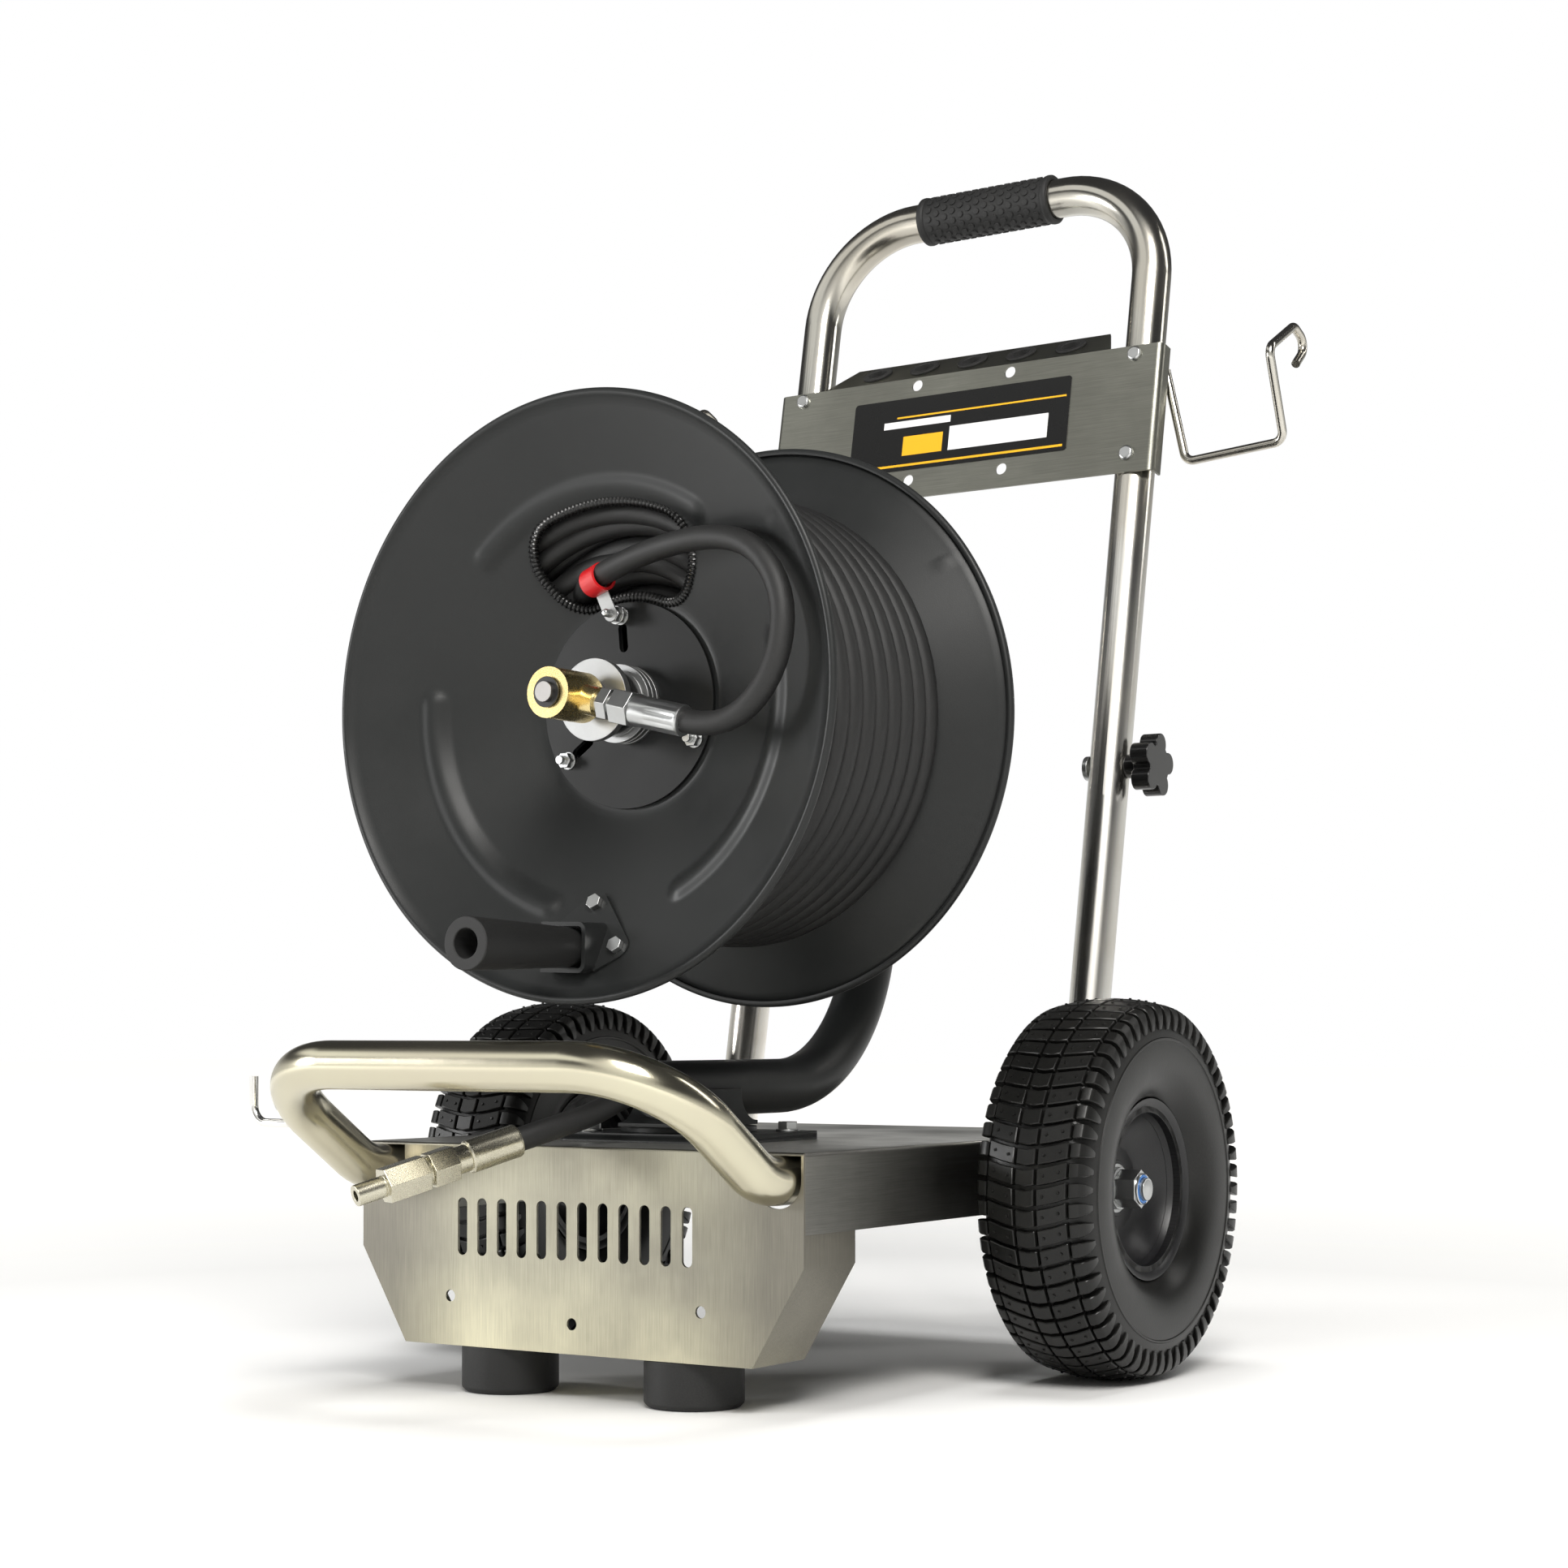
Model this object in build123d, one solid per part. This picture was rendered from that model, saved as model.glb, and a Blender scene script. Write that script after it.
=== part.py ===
from build123d import *
from math import acos, cos, pi, radians, sin, sqrt, tan
import os

os.makedirs("parts", exist_ok=True)

# Clearances, in millimetres
TURN_GAP = 0.05  # radial gap of a turning fit
FIT_GAP = 0.1  # radial gap of a bolt, tube or axle in its hole
SIDE_GAP = 0.5  # gap between faces that pass each other
HOSE_GAP = 0.3  # gap between the wound hose and the reel

# Sheet and tube stock
SHEET = 2.0
TUBE_R = 15.9
TUBE_WALL = 1.6

# Deck, whose width and length place the wheels, bumper and uprights
DECK_HALF = 183.0
DECK_TOP = 170.0
DECK_LENGTH = 462.0
DECK_FLANGE = 52.0
FOLD_R = 3.0

# Wheels and axle
TYRE_R = 135.0
TYRE_WIDTH = 83.0
AXLE_R = 8.0
AXLE_FROM_REAR = 150.0
AXLE_Y = DECK_LENGTH - AXLE_FROM_REAR
NUT_AF = 24.0
NUT_HEIGHT = 16.0
THREAD_END = 5.0
WASHER = 3.0
SPACER_LENGTH = 20.0
HUB_LENGTH = 45.0
HUB_OFFSET = 18.9
HUB_INNER_X = DECK_HALF + SPACER_LENGTH
HUB_OUTER_X = HUB_INNER_X + HUB_LENGTH
WHEEL_X = HUB_INNER_X + HUB_LENGTH / 2 + HUB_OFFSET
HUB_R = 20.0
BEARING_R = 17.5
BEARING_WIDTH = 11.0
RIM_FLANGE_R = 64.2
BEAD_SEAT_R = 52.0
RIM_SHEET = 2.4
RIM_INSET = 12.0
RIM_RIDGE_R = 55.0
RIM_RIDGE_DROP = 6.7
DISH_FLAT_R = 29.0
DISH_WALL_R = 49.0
DISH_WALL_DEPTH = 9.0
RIM_CURL_R = 58.5
DISH_FLAT = 0.6
BEAD_WIDTH = 11.6
BULGE_INSET = 1.2
SHOULDER_INSET = 5.5
CROWN_DROP = 5.0
TYRE_WALL = 8.0
TREAD_THICK = 12.0

# Front box
BOX_DEPTH = 62.0
BOX_CREASE_Z = 97.0
BOX_HALF = DECK_HALF - 39.0
SLOT_COUNT = 12
SLOT_WIDTH = 8.0
SLOT_HEIGHT = 39.0
SLOT_PITCH = 17.0
SLOT_Z = 113.5
FRONT_HOLE_R = 4.0
FRONT_HOLE_X = 104.0
FRONT_HOLE_Z = 65.7
CENTRE_HOLE_Z = 52.0

# Feet
FOOT_R = 33.3
FOOT_X = 77.0
FOOT_Y = 32.0
FOOT_HEIGHT = 32.0
FOOT_BOLT_R = 4.0

# Bumper and its side hook
BUMPER_HALF = DECK_HALF - 19.9
BUMPER_TAIL_Y = 26.0
BUMPER_KNEE_Y = -20.0
BUMPER_BAR_Y = -128.0
BUMPER_BAR_Z = 225.0
BUMPER_KNEE_R = 56.0
BUMPER_BEND_R = 66.7
SIDE_HOOK_R = 3.0
SIDE_HOOK_Y = -62.0
SIDE_HOOK_X = BUMPER_HALF + 65.0
SIDE_HOOK_TOP = 215.5

# Uprights, handle and rear panel, measured along the lean from the floor
LEAN = 10.92
LEAN_Y = DECK_LENGTH - 63.4
UPRIGHT_X = DECK_HALF - 26.0
UPRIGHT_FOOT_V = 126.0
JOINT_V = 435.0
SPIGOT_WALL = 1.6
SPIGOT_REACH = 60.0
KNOB_V = JOINT_V + 26.0
HANDLE_V = 957.0
HANDLE_BEND_R = 85.0
GRIP_HALF = 62.0
GRIP_R = 18.6
BOLT_R = 4.0
KNOB_BOSS_R = 9.5
KNOB_BOSS_LENGTH = 12.0
KNOB_R = 25.0
KNOB_LENGTH = 15.0
KNOB_LOBES = 5
PANEL_HALF = UPRIGHT_X + 24.0
PANEL_BOTTOM_V = 699.0
PANEL_TOP_V = 806.0
PANEL_FOLD_R = 6.0
PANEL_RETURN = 15.0
PANEL_HOLE_R = 5.0
PANEL_HOLE_X = 44.0
PANEL_ROWS = (715.0, 799.0)
PANEL_SCREW_R = 3.0
LABEL_HALF = 102.5
LABEL_BOTTOM_V = 724.0
LABEL_TOP_V = 788.0
LABEL_THICK = 0.6
TRAY_DEPTH = 37.0
TRAY_HALF = 135.0
TRAY_EDGE_HALF = 120.0
TRAY_TURN = 45.0
GROMMET_COUNT = 5
GROMMET_PITCH = 46.0
GROMMET_R = 13.0
GROMMET_HOLE_R = 8.0
GROMMET_LIP = 2.0
HOOK_R = 3.5
HOOK_REACH = 107.5
HOOK_BEND_R = 9.0

# Base plates, saddle and support arm
PLATE_HALF = 72.0
PLATE_FRONT_Y = 76.0
PLATE_REAR_Y = 197.0
PLATE = 3.0
PLATE_BOLT_X = 60.0
PLATE_BOLT_Y = (101.0, 171.5)
PLATE_BOLT_AF = 13.0
DISC_R = 48.0
DISC = 4.0
ARM_R = 20.0
ARM_WALL = 3.0
ARM_Z = 206.0
ARM_FRONT_Y = 95.0
ARM_BEND_Y = 252.0
ARM_TOP_Y = 186.0
CHEEK = 4.0
PEDESTAL_Y = 136.0
SADDLE_TOP = 31.0
SADDLE_FOOT = 52.0
SADDLE_TOE = 3.0

# Reel, its depths measured back from the front rim
REEL_Z = 470.0
REEL_R = 206.0
REEL_DEPTH = 240.0
REEL_SHEET = 1.6
RIM_BEAD_R = 3.0
CONE_R = 198.0
FLAT_R = 75.0
FLAT_DEPTH = 65.5
DRUM_R = 70.0
DRUM_WALL = 2.0
HUB_PLATE_R = 71.0
HUB_PLATE = 3.0
HUB_BOLT_R = 62.0
REEL_ANGLES = (95.0, 215.0, 335.0)
RIB_R = 144.0
RIB_SPAN = 80.0
RIB_ROUND = 10.0
RIB_RISE = 3.2
KIDNEY_INNER_R = 75.0
KIDNEY_OUTER_R = 136.0
KIDNEY_START = 54.0
KIDNEY_END = 125.0
KIDNEY_CORNER_R = (KIDNEY_OUTER_R - KIDNEY_INNER_R) / 2 - 3.5
TRIM_EDGE = 2.0
SHAFT_R = 12.5
SWIVEL_PIN_R = 6.75
SHAFT_SHOULDER_DEPTH = 28.0
REEL_BEARING_R = 26.0
REEL_BEARING_WIDTH = 15.0
SLEEVE_WALL = 4.0
RING_R = 27.0
RING_COUNT = 3
RING = 5.0
SPACER_R = 23.0
DISC_PAIR_R = 28.0
DISC_PAIR_DEPTH = 22.0
DISC_PAIR = 6.0
SWIVEL_R = 17.0
SWIVEL_FRONT_DEPTH = -27.0
SWIVEL_BACK_DEPTH = 12.0
SEAL_R = 13.0

# Swivel port and reel hose
PORT_DEPTH = -4.0
PORT_ANGLE = -13.5
PORT_BOSS_R = 10.0
PORT_STEPS = (26.0, 38.0, 41.0, 56.0, 97.0)
HOSE_R = 8.0
FERRULE_R = 10.5
PORT_NUT_AF = 22.0
WOUND_R = 163.0
CLIP_WIDTH = 15.0
CLIP_AT = (-11.0, 84.5, -42.0)
CLIP_AIM = (-36.0, -8.8, -11.6)
END_ANGLE = 200.0
END_DEPTH = 45.0
END_FERRULE_LENGTH = 37.0
END_NUT_LENGTH = 18.0

# Crank
CRANK_ANGLE = 268.6
CRANK_R = 167.5
CRANK_GRIP_R = 17.6
CRANK_GRIP_REAR_R = 13.2
CRANK_GRIP_BORE_R = 9.5
CRANK_GRIP_LENGTH = 112.0
CRANK_GRIP_DEPTH = 6.0
CRANK_SHEET = 3.0
CRANK_CHANNEL = 14.0
CRANK_CHANNEL_OPEN = 20.0
CRANK_CHANNEL_DEPTH = -3.0
CRANK_BOLT_X = 29.0
CRANK_BOLT_R = 138.4
CRANK_LOBE_R = 9.0
CRANK_PIN_REACH = 78.0

# Leader hose fittings
LEADER_END = (-8.0, -48.0, 175.5)
LEADER_AIM = (-0.423, -0.86, -0.28)
LEADER_FERRULE_R = 11.0
LEADER_FERRULE_LENGTH = 37.0
LEADER_NECK = 10.0
LEADER_NECK_R = 9.0
LEADER_NUT_AF = 22.0
LEADER_NUT_LENGTH = 18.0
PLUG_BODY_LENGTH = 32.0
PLUG_NOSE_LENGTH = 20.0
PLUG_NOSE_R = 7.0
PLUG_BORE_R = 3.5

# Derived places
LEAN_RAD = radians(LEAN)
GRIP_REAR_Y = LEAN_Y + HANDLE_V * sin(LEAN_RAD) + GRIP_R
MIDDLE_Y = (GRIP_REAR_Y + BUMPER_BAR_Y - TUBE_R) / 2
BUMPER_TAIL_Z = DECK_TOP - SHEET - TUBE_R
PANEL_FACE_W = -TUBE_R - SHEET
FRONT_PLATE_DEPTH = FLAT_DEPTH - HUB_PLATE


def block(x, y, z):
    """Box between the two ends given along each axis."""
    corner = (Align.MIN, Align.MIN, Align.MIN)
    return Pos(x[0], y[0], z[0]) * Box(x[1] - x[0], y[1] - y[0], z[1] - z[0], align=corner)


def bar(start, direction, length, radius, bore=0):
    """Round bar or ring from a start point along a direction."""
    plane = Plane(origin=start, z_dir=direction)
    section = plane * Circle(radius)
    if bore:
        section -= plane * Circle(bore)
    return extrude(section, length)


def hexagon(start, direction, length, across, bore=0, x_dir=None):
    """Hexagonal bar or nut from a start point along a direction."""
    plane = Plane(origin=start, z_dir=direction, x_dir=x_dir)
    section = plane * RegularPolygon(across / 2, 6, major_radius=False)
    if bore:
        section -= plane * Circle(bore)
    return extrude(section, length)


def follow(path, radius, wall=0):
    """Round bar or tube along a path."""
    start = Plane(origin=path @ 0, z_dir=path % 0)
    section = start * Circle(radius)
    if wall:
        section -= start * Circle(radius - wall)
    return sweep(section, path=path)


def both_sides(shape):
    """A shape together with its mirror image across the cart's middle."""
    return shape + mirror(shape, about=Plane.YZ)


def save(name, shape):
    """Write one piece, moved so that the cart's middle is over the origin."""
    export_step(Pos(0, -MIDDLE_Y, 0) * shape, f"parts/{name}.step")


def polar(radius, angle, depth=0.0):
    """Point of the reel's own frame, behind its front rim by a depth."""
    return (radius * cos(radians(angle)), radius * sin(radians(angle)), -depth)


def bend_radii(points):
    """Bend radius at each inner point of a hose route."""
    radii = []
    for before, here, after in zip(points, points[1:], points[2:]):
        back = Vector(*here) - Vector(*before)
        ahead = Vector(*after) - Vector(*here)
        turn = acos(back.normalized().dot(ahead.normalized()))
        radii.append(0.45 * min(back.length, ahead.length) / tan(turn / 2))
    return radii


def hose(name, points, radius):
    """Hose of straight runs joined by tangent bends."""
    radii = bend_radii(points)
    path = FilletPolyline(*points, radius=radii)
    solid = follow(path, radius)
    expected = path.length * pi * radius**2
    print(name, "bend radii", [round(value, 1) for value in radii], "volume ratio", solid.volume / expected)
    return solid


# Lean: x to the right, y square to the uprights and back, z along them
LEANING = Plane(origin=(0, LEAN_Y, 0), x_dir=(1, 0, 0), z_dir=(0, sin(LEAN_RAD), cos(LEAN_RAD)))
# Reel: x to the right, y up, z forward from the front rim
REEL = Plane(origin=(0, 0, REEL_Z), x_dir=(1, 0, 0), z_dir=(0, -1, 0))

# Tubes that other pieces seat on
bumper_points = [
    (BUMPER_HALF, BUMPER_TAIL_Y, BUMPER_TAIL_Z),
    (BUMPER_HALF, BUMPER_KNEE_Y, BUMPER_TAIL_Z),
    (BUMPER_HALF, BUMPER_BAR_Y, BUMPER_BAR_Z),
    (-BUMPER_HALF, BUMPER_BAR_Y, BUMPER_BAR_Z),
    (-BUMPER_HALF, BUMPER_KNEE_Y, BUMPER_TAIL_Z),
    (-BUMPER_HALF, BUMPER_TAIL_Y, BUMPER_TAIL_Z),
]
bumper_bends = [BUMPER_KNEE_R, BUMPER_BEND_R, BUMPER_BEND_R, BUMPER_KNEE_R]
bumper_path = FilletPolyline(*bumper_points, radius=bumper_bends)
save("bumper_tube", follow(bumper_path, TUBE_R, TUBE_WALL))

side_hook_points = [
    (-BUMPER_HALF, SIDE_HOOK_Y, SIDE_HOOK_TOP - 32),
    (-SIDE_HOOK_X, SIDE_HOOK_Y, SIDE_HOOK_TOP - 32),
    (-SIDE_HOOK_X, SIDE_HOOK_Y, SIDE_HOOK_TOP),
]
side_hook = follow(FilletPolyline(*side_hook_points, radius=12), SIDE_HOOK_R)
save("side_hook", side_hook - follow(bumper_path, TUBE_R))

# Deck: folded tray with side flanges and a rear wall
deck_outside = block(
    (-DECK_HALF, DECK_HALF), (SHEET, DECK_LENGTH), (DECK_TOP - DECK_FLANGE, DECK_TOP)
)
deck_outside = fillet(deck_outside.edges().filter_by(Axis.Y).group_by(Axis.Z)[-1], FOLD_R)
deck = deck_outside - block(
    (SHEET - DECK_HALF, DECK_HALF - SHEET),
    (0, DECK_LENGTH - SHEET),
    (0, DECK_TOP - SHEET),
)
deck -= bar((-DECK_HALF, AXLE_Y, TYRE_R), (1, 0, 0), 2 * DECK_HALF, AXLE_R + FIT_GAP)
upright_hole = LEANING * bar((UPRIGHT_X, 0, 0), (0, 0, 1), JOINT_V, TUBE_R + FIT_GAP)
deck -= both_sides(upright_hole)
for bolt_y in PLATE_BOLT_Y:
    for bolt_x in (-PLATE_BOLT_X, PLATE_BOLT_X):
        deck -= bar((bolt_x, bolt_y, 0), (0, 0, 1), DECK_TOP, BOLT_R + FIT_GAP)
save("deck", deck)

# Front box: full front plate, tapered sides and a bottom that carries the feet
front_outline = Polyline(
    (-DECK_HALF, DECK_TOP),
    (-DECK_HALF, BOX_CREASE_Z),
    (-BOX_HALF, FOOT_HEIGHT),
    (BOX_HALF, FOOT_HEIGHT),
    (DECK_HALF, BOX_CREASE_Z),
    (DECK_HALF, DECK_TOP),
    close=True,
)
front_face = make_face(front_outline)
front_plane = Plane(origin=(0, 0, 0), x_dir=(1, 0, 0), z_dir=(0, -1, 0))
front_box = extrude(front_plane * front_face, -BOX_DEPTH)
box_inside = front_plane.offset(-SHEET) * offset(front_face, -SHEET, kind=Kind.INTERSECTION)
front_box -= extrude(box_inside, -BOX_DEPTH)
front_box -= block(
    (-DECK_HALF, DECK_HALF), (SHEET, BOX_DEPTH), (DECK_TOP - DECK_FLANGE, DECK_TOP)
)
front_top = front_box.edges().filter_by(Axis.X).filter_by_position(Axis.Y, -0.01, 0.01).group_by(Axis.Z)[-1]
front_box = fillet(front_top, SHEET * 0.9)
notch_r = TUBE_R + SHEET
notch = block(
    (BUMPER_HALF - notch_r, DECK_HALF - SHEET),
    (0, SHEET),
    (BUMPER_TAIL_Z, DECK_TOP - SHEET),
)
notch += bar((BUMPER_HALF, 0, BUMPER_TAIL_Z), (0, 1, 0), SHEET, notch_r)
notch &= block((0, DECK_HALF), (0, SHEET), (0, DECK_TOP - SHEET))
front_box -= both_sides(notch)
slot_start = -SLOT_PITCH * (SLOT_COUNT - 1) / 2
slots = Sketch() + [
    Pos(slot_start + SLOT_PITCH * index, SLOT_Z) * Rot(0, 0, 90) * SlotOverall(SLOT_HEIGHT, SLOT_WIDTH)
    for index in range(SLOT_COUNT)
]
holes = Pos(0, CENTRE_HOLE_Z) * Circle(FRONT_HOLE_R)
holes += Pos(FRONT_HOLE_X, FRONT_HOLE_Z) * Circle(FRONT_HOLE_R)
holes += Pos(-FRONT_HOLE_X, FRONT_HOLE_Z) * Circle(FRONT_HOLE_R)
front_box -= extrude(front_plane * slots, -SHEET)
front_box -= extrude(front_plane * holes, -SHEET)
foot_hole = bar((FOOT_X, FOOT_Y, FOOT_HEIGHT), (0, 0, 1), SHEET, FOOT_BOLT_R + FIT_GAP)
front_box -= both_sides(foot_hole)
save("front_box", front_box)

# Feet, each bolted up through the box's bottom
foot = Pos(FOOT_X, FOOT_Y, 0) * Cylinder(FOOT_R, FOOT_HEIGHT, align=(Align.CENTER, Align.CENTER, Align.MIN))
foot = chamfer(foot.edges().group_by(Axis.Z)[0], 3)
foot -= bar((FOOT_X, FOOT_Y, 0), (0, 0, 1), FOOT_HEIGHT, FOOT_BOLT_R + FIT_GAP)
foot -= bar((FOOT_X, FOOT_Y, 0), (0, 0, 1), FOOT_HEIGHT / 2, 3 * FOOT_BOLT_R)
save("feet", both_sides(foot))
foot_bolt = hexagon((FOOT_X, FOOT_Y, FOOT_HEIGHT / 2 - 5), (0, 0, 1), 5, 13)
foot_bolt += bar((FOOT_X, FOOT_Y, FOOT_HEIGHT / 2), (0, 0, 1), FOOT_HEIGHT / 2 + 12, FOOT_BOLT_R)
foot_nut = hexagon((FOOT_X, FOOT_Y, FOOT_HEIGHT + SHEET), (0, 0, 1), 7, 13, FOOT_BOLT_R)

# Axle with its spacers, washers and lock nuts
nut_inner_x = HUB_OUTER_X + WASHER
axle_half = nut_inner_x + NUT_HEIGHT + THREAD_END
save("axle", bar((-axle_half, AXLE_Y, TYRE_R), (1, 0, 0), 2 * axle_half, AXLE_R))
spacer_length = HUB_INNER_X - SIDE_GAP - DECK_HALF
spacer = bar((DECK_HALF, AXLE_Y, TYRE_R), (1, 0, 0), spacer_length, AXLE_R + 4, AXLE_R + FIT_GAP)
washer_start = HUB_OUTER_X + SIDE_GAP
axle_washer = bar((washer_start, AXLE_Y, TYRE_R), (1, 0, 0), WASHER - SIDE_GAP, AXLE_R + 7, AXLE_R + FIT_GAP)
save("axle_spacers", both_sides(spacer + axle_washer))
axle_nut = hexagon((nut_inner_x, AXLE_Y, TYRE_R), (1, 0, 0), NUT_HEIGHT, NUT_AF, AXLE_R)
save("axle_nuts", both_sides(axle_nut))

# Wheel: sections are drawn as radius against distance out along the axle
half = TYRE_WIDTH / 2
lip = half - RIM_INSET
seat = BEAD_SEAT_R + RIM_SHEET
shoulder_r = TYRE_R - CROWN_DROP
shoulder = half - SHOULDER_INSET
wall_r = (RIM_FLANGE_R + shoulder_r) / 2
bulge = half - BULGE_INSET
bead = lip - RIM_SHEET
bead_inner = bead - BEAD_WIDTH
tyre_half = [
    Line((seat, bead_inner), (seat, bead)),
    Line((seat, bead), (RIM_FLANGE_R, bead)),
    Spline(
        (RIM_FLANGE_R, bead),
        ((RIM_FLANGE_R + wall_r) / 2, bulge),
        (wall_r, half),
        ((shoulder_r + wall_r) / 2, bulge),
        (shoulder_r, shoulder),
        tangents=((1, 0.5), (0.6, -1)),
    ),
    Spline(
        (seat, bead_inner),
        ((seat + wall_r) / 2, half - TYRE_WALL),
        (wall_r, half - TYRE_WALL),
        (TYRE_R - TREAD_THICK, 0),
        tangents=((1, 0.3), (0, -1)),
    ),
]
tyre_lines = [edge for line in tyre_half for edge in (line, mirror(line, about=Plane.XZ))]
tyre_lines.append(ThreePointArc((shoulder_r, shoulder), (TYRE_R, 0), (shoulder_r, -shoulder)))
tyre_section = make_face([edge for line in tyre_lines for edge in line.edges()])

rim_ridge = lip - RIM_RIDGE_DROP
hub_root = HUB_R - RIM_SHEET
rim_section = make_face(
    [
        Line((hub_root, DISH_FLAT), (DISH_FLAT_R, DISH_FLAT)),
        ThreePointArc(
            (DISH_FLAT_R, DISH_FLAT),
            (DISH_WALL_R, DISH_WALL_DEPTH),
            (BEAD_SEAT_R, rim_ridge - 2 * RIM_SHEET),
        ),
        Line((BEAD_SEAT_R, rim_ridge - 2 * RIM_SHEET), (BEAD_SEAT_R, 0)),
        Line((BEAD_SEAT_R, 0), (seat, 0)),
        Line((seat, 0), (seat, bead)),
        Line((seat, bead), (RIM_FLANGE_R, bead)),
        Line((RIM_FLANGE_R, bead), (RIM_FLANGE_R, lip)),
        ThreePointArc((RIM_FLANGE_R, lip), (RIM_CURL_R, lip - RIM_SHEET), (RIM_RIDGE_R, rim_ridge)),
        ThreePointArc(
            (RIM_RIDGE_R, rim_ridge),
            (DISH_WALL_R - RIM_SHEET, DISH_WALL_DEPTH + RIM_SHEET),
            (DISH_FLAT_R, DISH_FLAT + RIM_SHEET),
        ),
        Line((DISH_FLAT_R, DISH_FLAT + RIM_SHEET), (hub_root, DISH_FLAT + RIM_SHEET)),
        Line((hub_root, DISH_FLAT + RIM_SHEET), (hub_root, DISH_FLAT)),
    ]
)
rim = revolve(Plane.XZ * rim_section, Axis.Z)
hub_out = HUB_OUTER_X - WHEEL_X
hub_in = HUB_INNER_X - WHEEL_X
hub = bar((0, 0, hub_in), (0, 0, 1), hub_out - hub_in, HUB_R, BEARING_R - 3)
for bearing_start in (hub_in, hub_out - BEARING_WIDTH):
    hub -= bar((0, 0, bearing_start), (0, 0, 1), BEARING_WIDTH, BEARING_R)
bearing = bar((0, 0, hub_in), (0, 0, 1), BEARING_WIDTH, BEARING_R, AXLE_R + TURN_GAP)
bearing_pair = bearing + Pos(0, 0, hub_out - hub_in - BEARING_WIDTH) * bearing
wheel_pieces = {
    "tyre": revolve(Plane.XZ * tyre_section, Axis.Z),
    "rim": rim + mirror(rim, about=Plane.XY) + hub,
    "wheel_bearings": bearing_pair,
}
WHEEL = Plane(origin=(WHEEL_X, AXLE_Y, TYRE_R), x_dir=(0, 1, 0), z_dir=(1, 0, 0))
for piece, shape in wheel_pieces.items():
    save(f"{piece}_right", WHEEL * shape)
    save(f"{piece}_left", mirror(WHEEL * shape, about=Plane.YZ))

# Uprights and handle, in the leaning frame
UP = (0, 0, 1)
OUT = (1, 0, 0)
lower = bar((UPRIGHT_X, 0, UPRIGHT_FOOT_V), UP, JOINT_V - UPRIGHT_FOOT_V, TUBE_R, TUBE_R - TUBE_WALL)
save("lower_uprights", both_sides(LEANING * lower))
bolt_hole = bar((0, 0, KNOB_V), OUT, UPRIGHT_X + 2 * TUBE_R, BOLT_R + FIT_GAP)
spigot_r = TUBE_R - TUBE_WALL - FIT_GAP
spigot = bar(
    (UPRIGHT_X, 0, JOINT_V - SPIGOT_REACH), UP, 2 * SPIGOT_REACH, spigot_r, spigot_r - SPIGOT_WALL
)
spigot -= bolt_hole
save("spigots", both_sides(LEANING * spigot))
handle_path = FilletPolyline(
    (-UPRIGHT_X, 0, JOINT_V),
    (-UPRIGHT_X, 0, HANDLE_V),
    (UPRIGHT_X, 0, HANDLE_V),
    (UPRIGHT_X, 0, JOINT_V),
    radius=HANDLE_BEND_R,
)
handle = follow(handle_path, TUBE_R, TUBE_WALL)
handle -= both_sides(bolt_hole)
screw_holes = Part() + [
    bar((side * UPRIGHT_X, 0, row), (0, -1, 0), 2 * TUBE_R, PANEL_SCREW_R + FIT_GAP)
    for side in (-1, 1)
    for row in PANEL_ROWS
]
handle -= screw_holes
save("handle_tube", LEANING * handle)
save("handle_grip", LEANING * bar((-GRIP_HALF, 0, HANDLE_V), OUT, 2 * GRIP_HALF, GRIP_R, TUBE_R))

# Bolts and star knobs that hold the handle on its spigots
head_start = UPRIGHT_X - TUBE_R
knob_start = UPRIGHT_X + TUBE_R + FIT_GAP
carriage_bolt = bar((head_start - 4, 0, KNOB_V), OUT, 4, 2.4 * BOLT_R)
carriage_bolt += bar((head_start, 0, KNOB_V), OUT, 2 * TUBE_R + KNOB_BOSS_LENGTH + 8, BOLT_R)
save("carriage_bolts", both_sides(LEANING * carriage_bolt))
knob_plane = Plane(origin=(knob_start + KNOB_BOSS_LENGTH, 0, KNOB_V), z_dir=OUT)
lobe_r = KNOB_R * 0.34
star = Circle(KNOB_R * 0.66) + PolarLocations(KNOB_R - lobe_r, KNOB_LOBES) * Circle(lobe_r)
knob = extrude(knob_plane * star, KNOB_LENGTH)
knob += bar((knob_start, 0, KNOB_V), OUT, KNOB_BOSS_LENGTH, KNOB_BOSS_R)
knob -= bar((knob_start, 0, KNOB_V), OUT, KNOB_BOSS_LENGTH + 9, BOLT_R + TURN_GAP)
save("knob_right", LEANING * knob)
save("knob_left", mirror(LEANING * knob, about=Plane.YZ))

# Rear panel: folded round the tubes at its sides, with a tray leaning back from its top
panel = block(
    (-PANEL_HALF, PANEL_HALF),
    (PANEL_FACE_W, PANEL_FACE_W + PANEL_RETURN),
    (PANEL_BOTTOM_V, PANEL_TOP_V),
)
panel = fillet(panel.edges().filter_by(Axis.Z).group_by(Axis.Y)[0], PANEL_FOLD_R)
panel_inside = block(
    (SHEET - PANEL_HALF, PANEL_HALF - SHEET),
    (PANEL_FACE_W + SHEET, PANEL_FACE_W + 2 * PANEL_RETURN),
    (PANEL_BOTTOM_V - 1, PANEL_TOP_V + 1),
)
panel -= fillet(panel_inside.edges().filter_by(Axis.Z).group_by(Axis.Y)[0], PANEL_FOLD_R - SHEET)
turn = radians(TRAY_TURN)
tray_plane = Plane(origin=(0, PANEL_FACE_W, PANEL_TOP_V), x_dir=OUT, z_dir=(0, -cos(turn), sin(turn)))
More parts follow.
